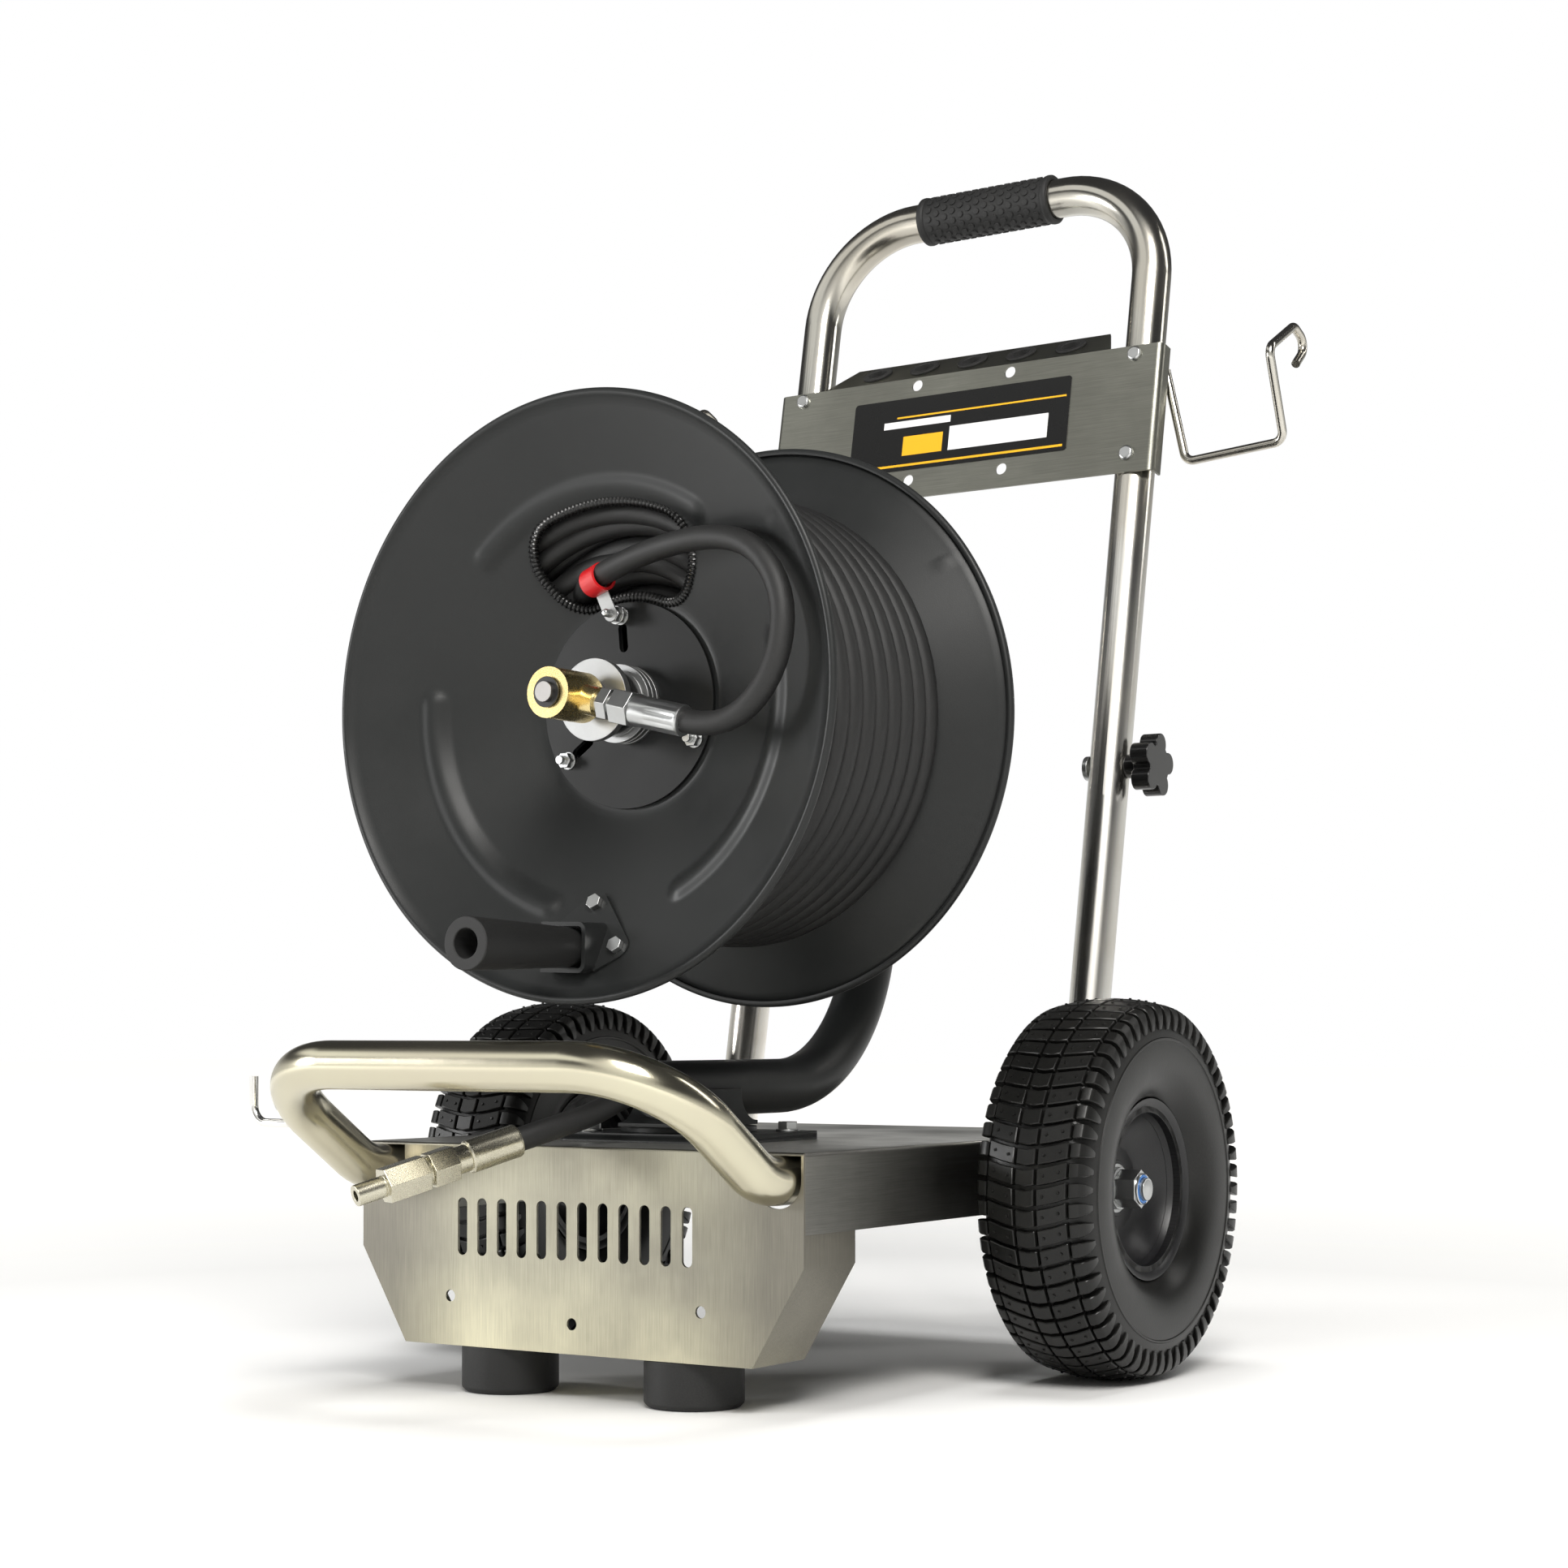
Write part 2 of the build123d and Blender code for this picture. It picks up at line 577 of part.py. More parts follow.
tray_outline = make_face(
    Polyline(
        (-TRAY_HALF, 0),
        (TRAY_HALF, 0),
        (TRAY_EDGE_HALF, TRAY_DEPTH),
        (-TRAY_EDGE_HALF, TRAY_DEPTH),
        close=True,
    )
)
grommet_neck_r = (GROMMET_R + GROMMET_HOLE_R) / 2
grommet_places = [
    Pos(GROMMET_PITCH * (index - (GROMMET_COUNT - 1) / 2), TRAY_DEPTH / 2) for index in range(GROMMET_COUNT)
]
tray_outline -= [place * Circle(grommet_neck_r) for place in grommet_places]
panel += extrude(tray_plane * tray_outline, -SHEET)
panel -= screw_holes
for side in (-1, 1):
    for row in PANEL_ROWS:
        panel -= bar((side * PANEL_HOLE_X, 0, row), (0, -1, 0), 2 * TUBE_R, PANEL_HOLE_R)
save("rear_panel", LEANING * panel)

grommet_ring = Circle(GROMMET_R) - Circle(GROMMET_HOLE_R)
grommet_neck = Circle(grommet_neck_r) - Circle(GROMMET_HOLE_R)
grommets = Part()
for place in grommet_places:
    grommets += extrude(tray_plane * place * grommet_ring, GROMMET_LIP)
    grommets += extrude(tray_plane * place * grommet_neck, -SHEET)
    grommets += extrude(tray_plane.offset(-SHEET) * place * grommet_ring, -GROMMET_LIP)
save("grommets", LEANING * grommets)

label_plane = Plane(origin=(0, PANEL_FACE_W, (LABEL_TOP_V + LABEL_BOTTOM_V) / 2), x_dir=OUT, z_dir=(0, -1, 0))
label = extrude(
    label_plane * RectangleRounded(2 * LABEL_HALF, LABEL_TOP_V - LABEL_BOTTOM_V, 3), LABEL_THICK
)
save("label_plate", LEANING * label)
screw = Pos(0, 0) * Cylinder(2 * PANEL_SCREW_R, 3, align=(Align.CENTER, Align.CENTER, Align.MIN))
screw = fillet(screw.edges().group_by(Axis.Z)[-1], 2)
screw += Pos(0, 0) * Cylinder(PANEL_SCREW_R, 9, align=(Align.CENTER, Align.CENTER, Align.MAX))
panel_screws = Part()
for side in (-1, 1):
    for row in PANEL_ROWS:
        seat_plane = Plane(origin=(side * UPRIGHT_X, PANEL_FACE_W, row), z_dir=(0, -1, 0))
        panel_screws += seat_plane * screw
save("panel_screws", LEANING * panel_screws)

# Wire hooks for the hose, welded to the handle tube
hook_root = UPRIGHT_X + TUBE_R + HOOK_R
hook_tip = UPRIGHT_X + TUBE_R + HOOK_REACH
hook_points = [
    (hook_root, LEAN_Y + 151.2, 775),
    (hook_root + 21, LEAN_Y + 142.4, 698),
    (hook_tip, LEAN_Y + 142.4, 705),
    (hook_tip, LEAN_Y + 113.4, 772),
    (hook_tip, LEAN_Y + 162.4, 799),
    (hook_tip, LEAN_Y + 189.4, 789),
    (hook_tip, LEAN_Y + 166.4, 770),
]
hook = follow(FilletPolyline(*hook_points, radius=HOOK_BEND_R), HOOK_R)
hook -= LEANING * bar((UPRIGHT_X, 0, PANEL_BOTTOM_V), UP, HANDLE_V - PANEL_BOTTOM_V, TUBE_R)
save("hose_hooks", both_sides(hook))

# Base plates bolted to the deck
plate = block((-PLATE_HALF, PLATE_HALF), (PLATE_FRONT_Y, PLATE_REAR_Y), (DECK_TOP, DECK_TOP + PLATE))
plate = fillet(plate.edges().filter_by(Axis.Z), 8)
plate_z = DECK_TOP + 2 * PLATE
frame_bolts = both_sides(foot_bolt)
frame_nuts = both_sides(foot_nut)
for bolt_y in PLATE_BOLT_Y:
    for bolt_x in (-PLATE_BOLT_X, PLATE_BOLT_X):
        plate -= bar((bolt_x, bolt_y, 0), UP, 2 * DECK_TOP, BOLT_R + FIT_GAP)
        frame_nuts += bar((bolt_x, bolt_y, plate_z), UP, 1.6, 2.1 * BOLT_R, BOLT_R)
        frame_bolts += hexagon((bolt_x, bolt_y, plate_z + 1.6), UP, 5.3, PLATE_BOLT_AF)
        frame_bolts += bar((bolt_x, bolt_y, plate_z + 1.6), (0, 0, -1), 22, BOLT_R)
        frame_nuts += hexagon((bolt_x, bolt_y, DECK_TOP - SHEET - 7), UP, 7, PLATE_BOLT_AF, BOLT_R)
plates = Compound([plate, Pos(0, 0, PLATE) * plate])
save("base_plates", plates)
save("frame_bolts", frame_bolts)
save("frame_nuts", frame_nuts)

# Foot disc, saddle and the arm that curves up behind the reel
arm_rise = REEL_Z - ARM_Z
arm_path = Wire(
    [
        *Line((0, ARM_FRONT_Y, ARM_Z), (0, ARM_BEND_Y, ARM_Z)).edges(),
        *ThreePointArc(
            (0, ARM_BEND_Y, ARM_Z),
            (0, ARM_BEND_Y + arm_rise / 2, ARM_Z + arm_rise / 2),
            (0, ARM_BEND_Y, REEL_Z),
        ).edges(),
        *Line((0, ARM_BEND_Y, REEL_Z), (0, ARM_TOP_Y, REEL_Z)).edges(),
    ]
)
save("support_arm", follow(arm_path, ARM_R, ARM_WALL))
saddle_half = ARM_R + CHEEK
saddle_base = plate_z + DISC
flare = (SADDLE_FOOT - SADDLE_TOP) * 0.3
saddle_side = [
    Line((SADDLE_TOP, ARM_Z), (0, ARM_Z)),
    ThreePointArc(
        (SADDLE_TOP, ARM_Z),
        (SADDLE_TOP + flare, saddle_base + 3 * SADDLE_TOE),
        (SADDLE_FOOT, saddle_base + SADDLE_TOE),
    ),
    Line((SADDLE_FOOT, saddle_base + SADDLE_TOE), (SADDLE_FOOT, saddle_base)),
    Line((SADDLE_FOOT, saddle_base), (0, saddle_base)),
]
saddle_face = make_face([edge for line in saddle_side for edge in (line, mirror(line, about=Plane.YZ))])
saddle_plane = Plane(origin=(-saddle_half, PEDESTAL_Y, 0), x_dir=(0, 1, 0), z_dir=(1, 0, 0))
saddle = extrude(saddle_plane * saddle_face, 2 * saddle_half)
saddle -= bar((0, 0, ARM_Z), (0, 1, 0), ARM_BEND_Y, ARM_R)
saddle += bar((0, PEDESTAL_Y, plate_z), UP, DISC, DISC_R)
save("arm_saddle", saddle)
bush = bar((0, ARM_FRONT_Y, ARM_Z), (0, 1, 0), 14, ARM_R - ARM_WALL, HOSE_R)
save("arm_bush", bush)

# Reel, in its own frame
FORWARD = (0, 0, 1)
BACK = (0, 0, -1)
bead_depth = RIM_BEAD_R
run = CONE_R - FLAT_R
slope = (FLAT_DEPTH - bead_depth) / run
slope_length = sqrt(1 + slope**2)
half_slope = (slope_length - 1) / slope


def cone_line(gap, outer_r):
    """Corner and outer end of the line lying a gap behind the flange's front face."""
    corner_r = FLAT_R + gap * half_slope
    rise = (outer_r - FLAT_R) * slope - gap * slope_length
    return [(corner_r, -(FLAT_DEPTH + gap)), (outer_r, rise - FLAT_DEPTH)]


def shell(near, far, inner_r, outer_r):
    """Solid of revolution between two lines parallel to the flange's front face."""
    front = cone_line(near, outer_r)
    back = cone_line(far, outer_r)
    points = [(inner_r, front[0][1]), *front, back[1], back[0], (inner_r, back[0][1])]
    return revolve(Plane.XZ * make_face(Polyline(*points, close=True)), Axis.Z)


def to_rear(shape):
    """The same piece on the reel's rear side."""
    return mirror(shape, about=Plane.XY.offset(-REEL_DEPTH / 2))


flange = shell(0, REEL_SHEET, REEL_BEARING_R, CONE_R)
bead_section = Plane.XZ * Pos(REEL_R - RIM_BEAD_R, -RIM_BEAD_R) * Circle(RIM_BEAD_R)
flange += revolve(bead_section, Axis.Z)
bead_join = make_face(
    Polyline(
        (CONE_R, -RIM_BEAD_R),
        (REEL_R - RIM_BEAD_R, -RIM_BEAD_R),
        (REEL_R - RIM_BEAD_R, -RIM_BEAD_R - REEL_SHEET * slope_length),
        (CONE_R, -RIM_BEAD_R - REEL_SHEET * slope_length),
        close=True,
    )
)
flange += revolve(Plane.XZ * bead_join, Axis.Z)
rib_depth = FLAT_DEPTH - (RIB_R - FLAT_R) * slope + RIB_ROUND - RIB_RISE
rib_front = shell(-2 * RIB_RISE, 0, RIB_R - 3 * RIB_RISE, RIB_R + 3 * RIB_RISE)
rib_section = Plane.XZ * Pos(RIB_R, -rib_depth) * Circle(RIB_ROUND)
ribs = Part()
for angle in REEL_ANGLES:
    rib = Rot(0, 0, angle - RIB_SPAN / 2) * revolve(rib_section, Axis.Z, RIB_SPAN)
    rib += Pos(*polar(RIB_R, angle - RIB_SPAN / 2, rib_depth)) * Sphere(RIB_ROUND)
    rib += Pos(*polar(RIB_R, angle + RIB_SPAN / 2, rib_depth)) * Sphere(RIB_ROUND)
    ribs += rib & rib_front
flange += ribs
for angle in REEL_ANGLES:
    flange -= bar(polar(HUB_BOLT_R, angle, 2 * FLAT_DEPTH), FORWARD, 3 * FLAT_DEPTH, 3 + FIT_GAP)
save("flange_rear", REEL * to_rear(flange))

middle_angle = (KIDNEY_START + KIDNEY_END) / 2
kidney = make_face(
    [
        *Line(polar(KIDNEY_INNER_R, KIDNEY_START), polar(KIDNEY_OUTER_R, KIDNEY_START)).edges(),
        *ThreePointArc(
            polar(KIDNEY_OUTER_R, KIDNEY_START),
            polar(KIDNEY_OUTER_R, middle_angle),
            polar(KIDNEY_OUTER_R, KIDNEY_END),
        ).edges(),
        *Line(polar(KIDNEY_OUTER_R, KIDNEY_END), polar(KIDNEY_INNER_R, KIDNEY_END)).edges(),
        *ThreePointArc(
            polar(KIDNEY_INNER_R, KIDNEY_END),
            polar(KIDNEY_INNER_R, middle_angle),
            polar(KIDNEY_INNER_R, KIDNEY_START),
        ).edges(),
    ]
)
kidney = fillet(kidney.vertices(), KIDNEY_CORNER_R)
flange_front = flange - extrude(kidney, -2 * FLAT_DEPTH)
trim_ring = offset(kidney, TRIM_EDGE) - offset(kidney, -TRIM_EDGE)
trim_reach = KIDNEY_OUTER_R + 2 * TRIM_EDGE
trim = extrude(trim_ring, -2 * FLAT_DEPTH)
trim &= shell(-TRIM_EDGE, REEL_SHEET + HOSE_GAP / 2, DRUM_R - 1, trim_reach)
save("edge_trim", REEL * (trim - flange_front))

drum_front = FLAT_DEPTH + REEL_SHEET
drum_length = REEL_DEPTH - 2 * drum_front
drum = bar((0, 0, -drum_front), BACK, drum_length, DRUM_R, DRUM_R - DRUM_WALL)
drum += bar((0, 0, -drum_front), BACK, drum_length, REEL_BEARING_R + SLEEVE_WALL, REEL_BEARING_R)
save("drum", REEL * drum)
reel_bearing = bar((0, 0, -FLAT_DEPTH), BACK, REEL_BEARING_WIDTH, REEL_BEARING_R, SHAFT_R + TURN_GAP)
save("reel_bearings", REEL * (reel_bearing + to_rear(reel_bearing)))

hub_plate = bar((0, 0, -FLAT_DEPTH), FORWARD, HUB_PLATE, HUB_PLATE_R, SHAFT_R + SIDE_GAP)
for angle in REEL_ANGLES:
    hub_plate -= bar(polar(HUB_BOLT_R, angle, FLAT_DEPTH), FORWARD, HUB_PLATE, 3 + FIT_GAP)
    slot = Rot(0, 0, angle) * Pos(47, 0) * SlotOverall(20, 7)
    hub_plate -= extrude(Pos(0, 0, -FLAT_DEPTH) * slot, HUB_PLATE)
save("hub_plates", REEL * (hub_plate + to_rear(hub_plate)))

hub_bolts = Part()
hub_nuts = []
for angle in REEL_ANGLES:
    hub_bolts += hexagon(polar(HUB_BOLT_R, angle, drum_front + 4), FORWARD, 4, 10)
    hub_bolts += bar(polar(HUB_BOLT_R, angle, drum_front), FORWARD, 16, 3)
    hub_nuts.append(bar(polar(HUB_BOLT_R, angle, FRONT_PLATE_DEPTH), FORWARD, 1.2, 6.2, 3))
    hub_nuts.append(hexagon(polar(HUB_BOLT_R, angle, FRONT_PLATE_DEPTH - 1.2), FORWARD, 5, 10, 3))
hub_fasteners = Compound([*hub_bolts.solids(), *hub_nuts])
save("hub_fasteners", REEL * Compound([hub_fasteners, to_rear(hub_fasteners)]))

# Stack of discs in front of the hub, up to the brass swivel
ring_stack = RING_COUNT * RING
rings = Part()
for index in range(RING_COUNT):
    ring_start = (0, 0, -FRONT_PLATE_DEPTH + index * RING)
    rings += bar(ring_start, FORWARD, RING * 0.6, RING_R, SHAFT_R + SIDE_GAP)
    rings += bar((0, 0, ring_start[2] + RING * 0.6), FORWARD, RING * 0.4, RING_R - 5, SHAFT_R + SIDE_GAP)
spacer_back = FRONT_PLATE_DEPTH - ring_stack
spacer_front = DISC_PAIR_DEPTH + DISC_PAIR
black_spacer = bar((0, 0, -spacer_back), FORWARD, spacer_back - spacer_front, SPACER_R, SHAFT_R + SIDE_GAP)
disc_pair = bar((0, 0, -spacer_front), FORWARD, DISC_PAIR, DISC_PAIR_R, SWIVEL_PIN_R + SIDE_GAP)
save("zinc_discs", REEL * (disc_pair + rings))
seal_length = DISC_PAIR_DEPTH - SWIVEL_BACK_DEPTH
seal = bar((0, 0, -DISC_PAIR_DEPTH), FORWARD, seal_length, SEAL_R, SWIVEL_PIN_R + SIDE_GAP)
save("swivel_spacers", REEL * (black_spacer + seal))

port = radians(PORT_ANGLE)
port_dir = (cos(port), sin(port), 0)
swivel = bar((0, 0, -SWIVEL_BACK_DEPTH), FORWARD, SWIVEL_BACK_DEPTH - SWIVEL_FRONT_DEPTH, SWIVEL_R)
swivel += bar((0, 0, -PORT_DEPTH), port_dir, PORT_STEPS[0], PORT_BOSS_R)
swivel -= bar((0, 0, -SWIVEL_BACK_DEPTH), FORWARD, 2 * SWIVEL_R + 10, SWIVEL_PIN_R + TURN_GAP)
save("swivel_body", REEL * swivel)


def along_port(distance):
    """Point on the port's axis at a distance from the reel's axis."""
    return (distance * port_dir[0], distance * port_dir[1], -PORT_DEPTH)


nipple = bar(along_port(PORT_STEPS[0]), port_dir, PORT_STEPS[2] - PORT_STEPS[0], 7.5)
nipple_start = PORT_STEPS[0] + 4
nipple += hexagon(along_port(nipple_start), port_dir, PORT_STEPS[1] - nipple_start, 20, x_dir=FORWARD)
save("port_nipple", REEL * nipple)
port_nut = hexagon(
    along_port(PORT_STEPS[2]), port_dir, PORT_STEPS[3] - PORT_STEPS[2], PORT_NUT_AF, x_dir=FORWARD
)
save("port_nut", REEL * port_nut)
jumper_ferrule = bar(along_port(PORT_STEPS[3]), port_dir, PORT_STEPS[4] - PORT_STEPS[3], FERRULE_R)
save("jumper_ferrule", REEL * jumper_ferrule)

# Fixed shaft with its circlip
shaft_back = ARM_TOP_Y
shaft = bar((0, 0, -shaft_back - 30), FORWARD, 30, ARM_R - ARM_WALL)
shoulder_front = SHAFT_SHOULDER_DEPTH + SIDE_GAP
shaft += bar((0, 0, -shaft_back), FORWARD, shaft_back - shoulder_front, SHAFT_R)
pin_front = SWIVEL_FRONT_DEPTH - 5
shaft += bar((0, 0, -shoulder_front), FORWARD, shoulder_front - pin_front, SWIVEL_PIN_R)
collar_back = shaft_back
collar_front = REEL_DEPTH - FRONT_PLATE_DEPTH + SIDE_GAP
shaft += bar((0, 0, -collar_back), FORWARD, collar_back - collar_front, SHAFT_R + 4)
circlip_start = -SWIVEL_FRONT_DEPTH + SIDE_GAP
save("reel_shaft", REEL * shaft)
circlip = bar((0, 0, circlip_start), FORWARD, 1.5, SWIVEL_PIN_R + 3.5, SWIVEL_PIN_R)
save("shaft_circlip", REEL * circlip)

# Wound hose and the jumper that feeds it
wound_gap = REEL_SHEET + HOSE_GAP
wound_front = cone_line(wound_gap, WOUND_R)
wound_inner = DRUM_R + HOSE_GAP
wound_points = [(wound_inner, wound_front[0][1]), *wound_front]
wound_points += [(r, -REEL_DEPTH - z) for r, z in reversed(wound_points)]
wound = revolve(Plane.XZ * make_face(Polyline(*wound_points, close=True)), Axis.Z)
jumper_points = [
    along_port(PORT_STEPS[4]),
    along_port(PORT_STEPS[4] + 26),
    (152, -13, 6),
    (170, 19, 5),
    (168, 57, 1),
    (145, 88, -3),
    (110, 99, -9),
    (66, 99, -20),
    (24, 94, -31),
    (-12, 85, -42),
    (-41, 77, -57),
    (-66, 60, -71),
]
jumper = hose("jumper_hose", jumper_points, HOSE_R)
save("jumper_hose", REEL * (jumper - trim - flange_front))
save("wound_hose", REEL * (wound - jumper))

# Fitting on the reel hose's outer end, lying on the last turn
end_nut_corner = PORT_NUT_AF / sqrt(3)
end_middle = Vector(*polar(WOUND_R + HOSE_GAP + end_nut_corner, END_ANGLE, END_DEPTH))
end_dir = Vector(-sin(radians(END_ANGLE)), cos(radians(END_ANGLE)), 0)
hose_end = bar(end_middle - end_dir * END_FERRULE_LENGTH, end_dir, END_FERRULE_LENGTH, FERRULE_R)
hose_end += bar(end_middle, end_dir, HUB_PLATE, PORT_BOSS_R)
hose_end += hexagon(end_middle + end_dir * HUB_PLATE, end_dir, END_NUT_LENGTH, PORT_NUT_AF)
hose_end -= bar(end_middle + end_dir * 2 * HUB_PLATE, end_dir, END_NUT_LENGTH, SWIVEL_PIN_R)
save("hose_end", REEL * hose_end)

# Hose clip on the upper hub bolt
clip_place = Plane(origin=CLIP_AT, z_dir=CLIP_AIM)
clip = extrude(clip_place * (Circle(HOSE_R + 2) - Circle(HOSE_R)), CLIP_WIDTH / 2, both=True)
save("hose_clip", REEL * (clip - jumper))

# Crank bracket, its bolts, pin and grip
crank = radians(CRANK_ANGLE)
tilt = sqrt(1 + slope**2)
outward = (cos(crank), sin(crank), 0)
across = (-sin(crank), cos(crank), 0)
crank_normal = (-slope * outward[0] / tilt, -slope * outward[1] / tilt, 1 / tilt)
crank_seat = Plane(
    origin=polar(FLAT_R, CRANK_ANGLE, FLAT_DEPTH), x_dir=across, z_dir=crank_normal
)
bolt_spots = [
    (0, -(CRANK_BOLT_R - FLAT_R) * tilt),
    (CRANK_BOLT_X, -(CRANK_R - FLAT_R) * tilt),
    (-CRANK_BOLT_X, -(CRANK_R - FLAT_R) * tilt),
]
channel_out = CRANK_CHANNEL + CRANK_SHEET
lobes = Sketch() + [Pos(*spot) * Circle(CRANK_LOBE_R) for spot in bolt_spots]
lobes += Pos(0, -(CRANK_R - FLAT_R) * tilt) * Rectangle(2 * channel_out, 2 * channel_out + CRANK_SHEET)
crank_plate = extrude(crank_seat * make_hull(lobes.edges()), CRANK_SHEET)
crank_bolts = Part()
crank_holes = Part()
for spot in bolt_spots:
    seat_point = crank_seat * Pos(spot[0], spot[1], CRANK_SHEET)
    spot_plane = Plane(origin=seat_point.position, z_dir=crank_normal)
    head_start = spot_plane.origin
    crank_bolts += hexagon(tuple(head_start), crank_normal, 4, 10)
    shank_length = CRANK_SHEET + REEL_SHEET
    crank_bolts += bar(tuple(head_start), [-value for value in crank_normal], shank_length, 3)
    crank_holes += bar(tuple(head_start), [-value for value in crank_normal], 2 * shank_length, 3 + FIT_GAP)
save("crank_bolts", REEL * crank_bolts)
save("flange_front", REEL * (flange_front - crank_holes))
crank_axis = polar(CRANK_R, CRANK_ANGLE)
channel_origin = (crank_axis[0], crank_axis[1], -CRANK_CHANNEL_DEPTH)
channel_plane = Plane(origin=channel_origin, x_dir=across, z_dir=FORWARD)
channel_depth = (-FLAT_DEPTH, 0)
channel = block((-CRANK_CHANNEL_OPEN, channel_out), (-channel_out, channel_out), channel_depth)
channel = fillet(channel.edges().filter_by(Axis.Z).group_by(Axis.X)[-1], 2 * CRANK_SHEET)
channel_side = (-2 * CRANK_CHANNEL_OPEN, CRANK_CHANNEL)
channel_inside = block(channel_side, (-CRANK_CHANNEL, CRANK_CHANNEL), channel_depth)
channel -= fillet(channel_inside.edges().filter_by(Axis.Z).group_by(Axis.X)[-1], CRANK_SHEET)
over_plate = shell(-FLAT_DEPTH, -CRANK_SHEET / 2, SHAFT_R, REEL_R)
bracket = (channel_plane * channel & over_plate) + crank_plate
bracket -= crank_holes
bracket &= shell(-FLAT_DEPTH, 0, SHAFT_R, REEL_R)
save("crank_bracket", REEL * (bracket - ribs))
pin_rear = (crank_axis[0], crank_axis[1], -FLAT_DEPTH)
crank_pin = bar(pin_rear, FORWARD, FLAT_DEPTH + CRANK_PIN_REACH, CRANK_GRIP_BORE_R - TURN_GAP)
crank_pin &= shell(-2 * CRANK_GRIP_LENGTH, -CRANK_SHEET, 0, REEL_R)
save("crank_pin", REEL * crank_pin)
grip_start = (crank_axis[0], crank_axis[1], -CRANK_GRIP_DEPTH)
grip_plane = Plane(origin=grip_start, z_dir=FORWARD)
crank_grip = loft(
    [
        grip_plane * Circle(CRANK_GRIP_REAR_R),
        grip_plane.offset(CRANK_GRIP_LENGTH) * Circle(CRANK_GRIP_R),
    ]
)
crank_grip -= bar(grip_start, FORWARD, CRANK_GRIP_LENGTH, CRANK_GRIP_BORE_R)
save("crank_grip", REEL * crank_grip)

# Leader hose out of the arm, and its fittings
leader_dir = Vector(*LEADER_AIM).normalized()
leader_end = Vector(*LEADER_END)
before_end = leader_end - leader_dir * 30
leader_points = [
    (0, ARM_FRONT_Y + 40, ARM_Z),
    (0, ARM_FRONT_Y - 25, ARM_Z),
    (3, ARM_FRONT_Y - 74, ARM_Z - 15),
    tuple(before_end),
    tuple(leader_end),
]
save("leader_hose", hose("leader_hose", leader_points, HOSE_R))
nut_start = leader_end + leader_dir * (LEADER_FERRULE_LENGTH + LEADER_NECK)
plug_start = nut_start + leader_dir * LEADER_NUT_LENGTH
nose_start = plug_start + leader_dir * PLUG_BODY_LENGTH
ferrule = bar(leader_end, leader_dir, LEADER_FERRULE_LENGTH, LEADER_FERRULE_R)
ferrule += bar(leader_end + leader_dir * LEADER_FERRULE_LENGTH, leader_dir, LEADER_NECK, LEADER_NECK_R)
save("leader_ferrule", ferrule)
save("leader_nut", hexagon(nut_start, leader_dir, LEADER_NUT_LENGTH, LEADER_NUT_AF))
plug = bar(plug_start, leader_dir, PLUG_BODY_LENGTH, LEADER_NECK_R)
plug += hexagon(plug_start + leader_dir * 3, leader_dir, PLUG_BODY_LENGTH - 3, LEADER_NUT_AF)
plug += bar(nose_start, leader_dir, PLUG_NOSE_LENGTH, PLUG_NOSE_R)
plug -= bar(nose_start + leader_dir, leader_dir, PLUG_NOSE_LENGTH, PLUG_BORE_R)
save("quick_plug", plug)
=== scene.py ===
"""Hose reel cart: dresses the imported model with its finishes, small parts and hoses."""

import logging
import math
from contextlib import contextmanager
from dataclasses import dataclass
from enum import Enum
from typing import Callable, Iterable, Iterator, Optional, Sequence

import bpy
from mathutils import Matrix, Vector


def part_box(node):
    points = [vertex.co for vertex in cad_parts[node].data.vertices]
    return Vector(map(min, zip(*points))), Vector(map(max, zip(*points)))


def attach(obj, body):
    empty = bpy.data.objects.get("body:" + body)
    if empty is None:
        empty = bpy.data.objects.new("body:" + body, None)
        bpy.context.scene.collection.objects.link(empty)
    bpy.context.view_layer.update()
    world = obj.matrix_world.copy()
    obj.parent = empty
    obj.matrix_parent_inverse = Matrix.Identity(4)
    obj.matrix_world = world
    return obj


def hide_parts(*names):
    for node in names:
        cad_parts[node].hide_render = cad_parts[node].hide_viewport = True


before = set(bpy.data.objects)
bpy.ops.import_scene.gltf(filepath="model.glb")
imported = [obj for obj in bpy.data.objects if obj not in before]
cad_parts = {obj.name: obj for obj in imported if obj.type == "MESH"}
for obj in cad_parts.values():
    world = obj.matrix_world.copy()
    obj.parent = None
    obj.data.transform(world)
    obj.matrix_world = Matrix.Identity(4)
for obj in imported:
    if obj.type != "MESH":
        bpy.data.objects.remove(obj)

logging.basicConfig(level=logging.INFO, format="%(message)s")
log = logging.getLogger("hose_reel_cart")

Piece = bpy.types.Object
Node = bpy.types.Node
Socket = bpy.types.NodeSocket
Triple = tuple[float, float, float]
Corner = tuple[float, float]

MM = 0.001
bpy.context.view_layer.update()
MIDDLE_Y = 227.2961785639535
REEL_AXIS = 470.0
REEL_DEPTH = 240.0
AXLE_Y = 312.0
AXLE_Z = 135.0
RIGHT = Vector((1, 0, 0))
FRONT = Vector((0, -1, 0))
BACK = Vector((0, 1, 0))
MERGE = 2e-6
FLAT = math.radians(0.3)
NOISE = (0.3, 0.7)


def at(x: float, y: float, z: float) -> Vector:
    """Point of the cart, in millimetres with y from the front plate, as a point of the scene."""
    return Vector((x, y - MIDDLE_Y, z)) * MM


def on_reel(x: float, z: float, depth: float) -> Vector:
    """Point of the reel from its axis, behind the front rim by a depth, as a point of the scene."""
    return at(x, depth, REEL_AXIS + z)


def polar(reach: float, degrees: float) -> Corner:
    """Point at a distance from the origin and an angle."""
    turned = math.radians(degrees)
    return reach * math.cos(turned), reach * math.sin(turned)


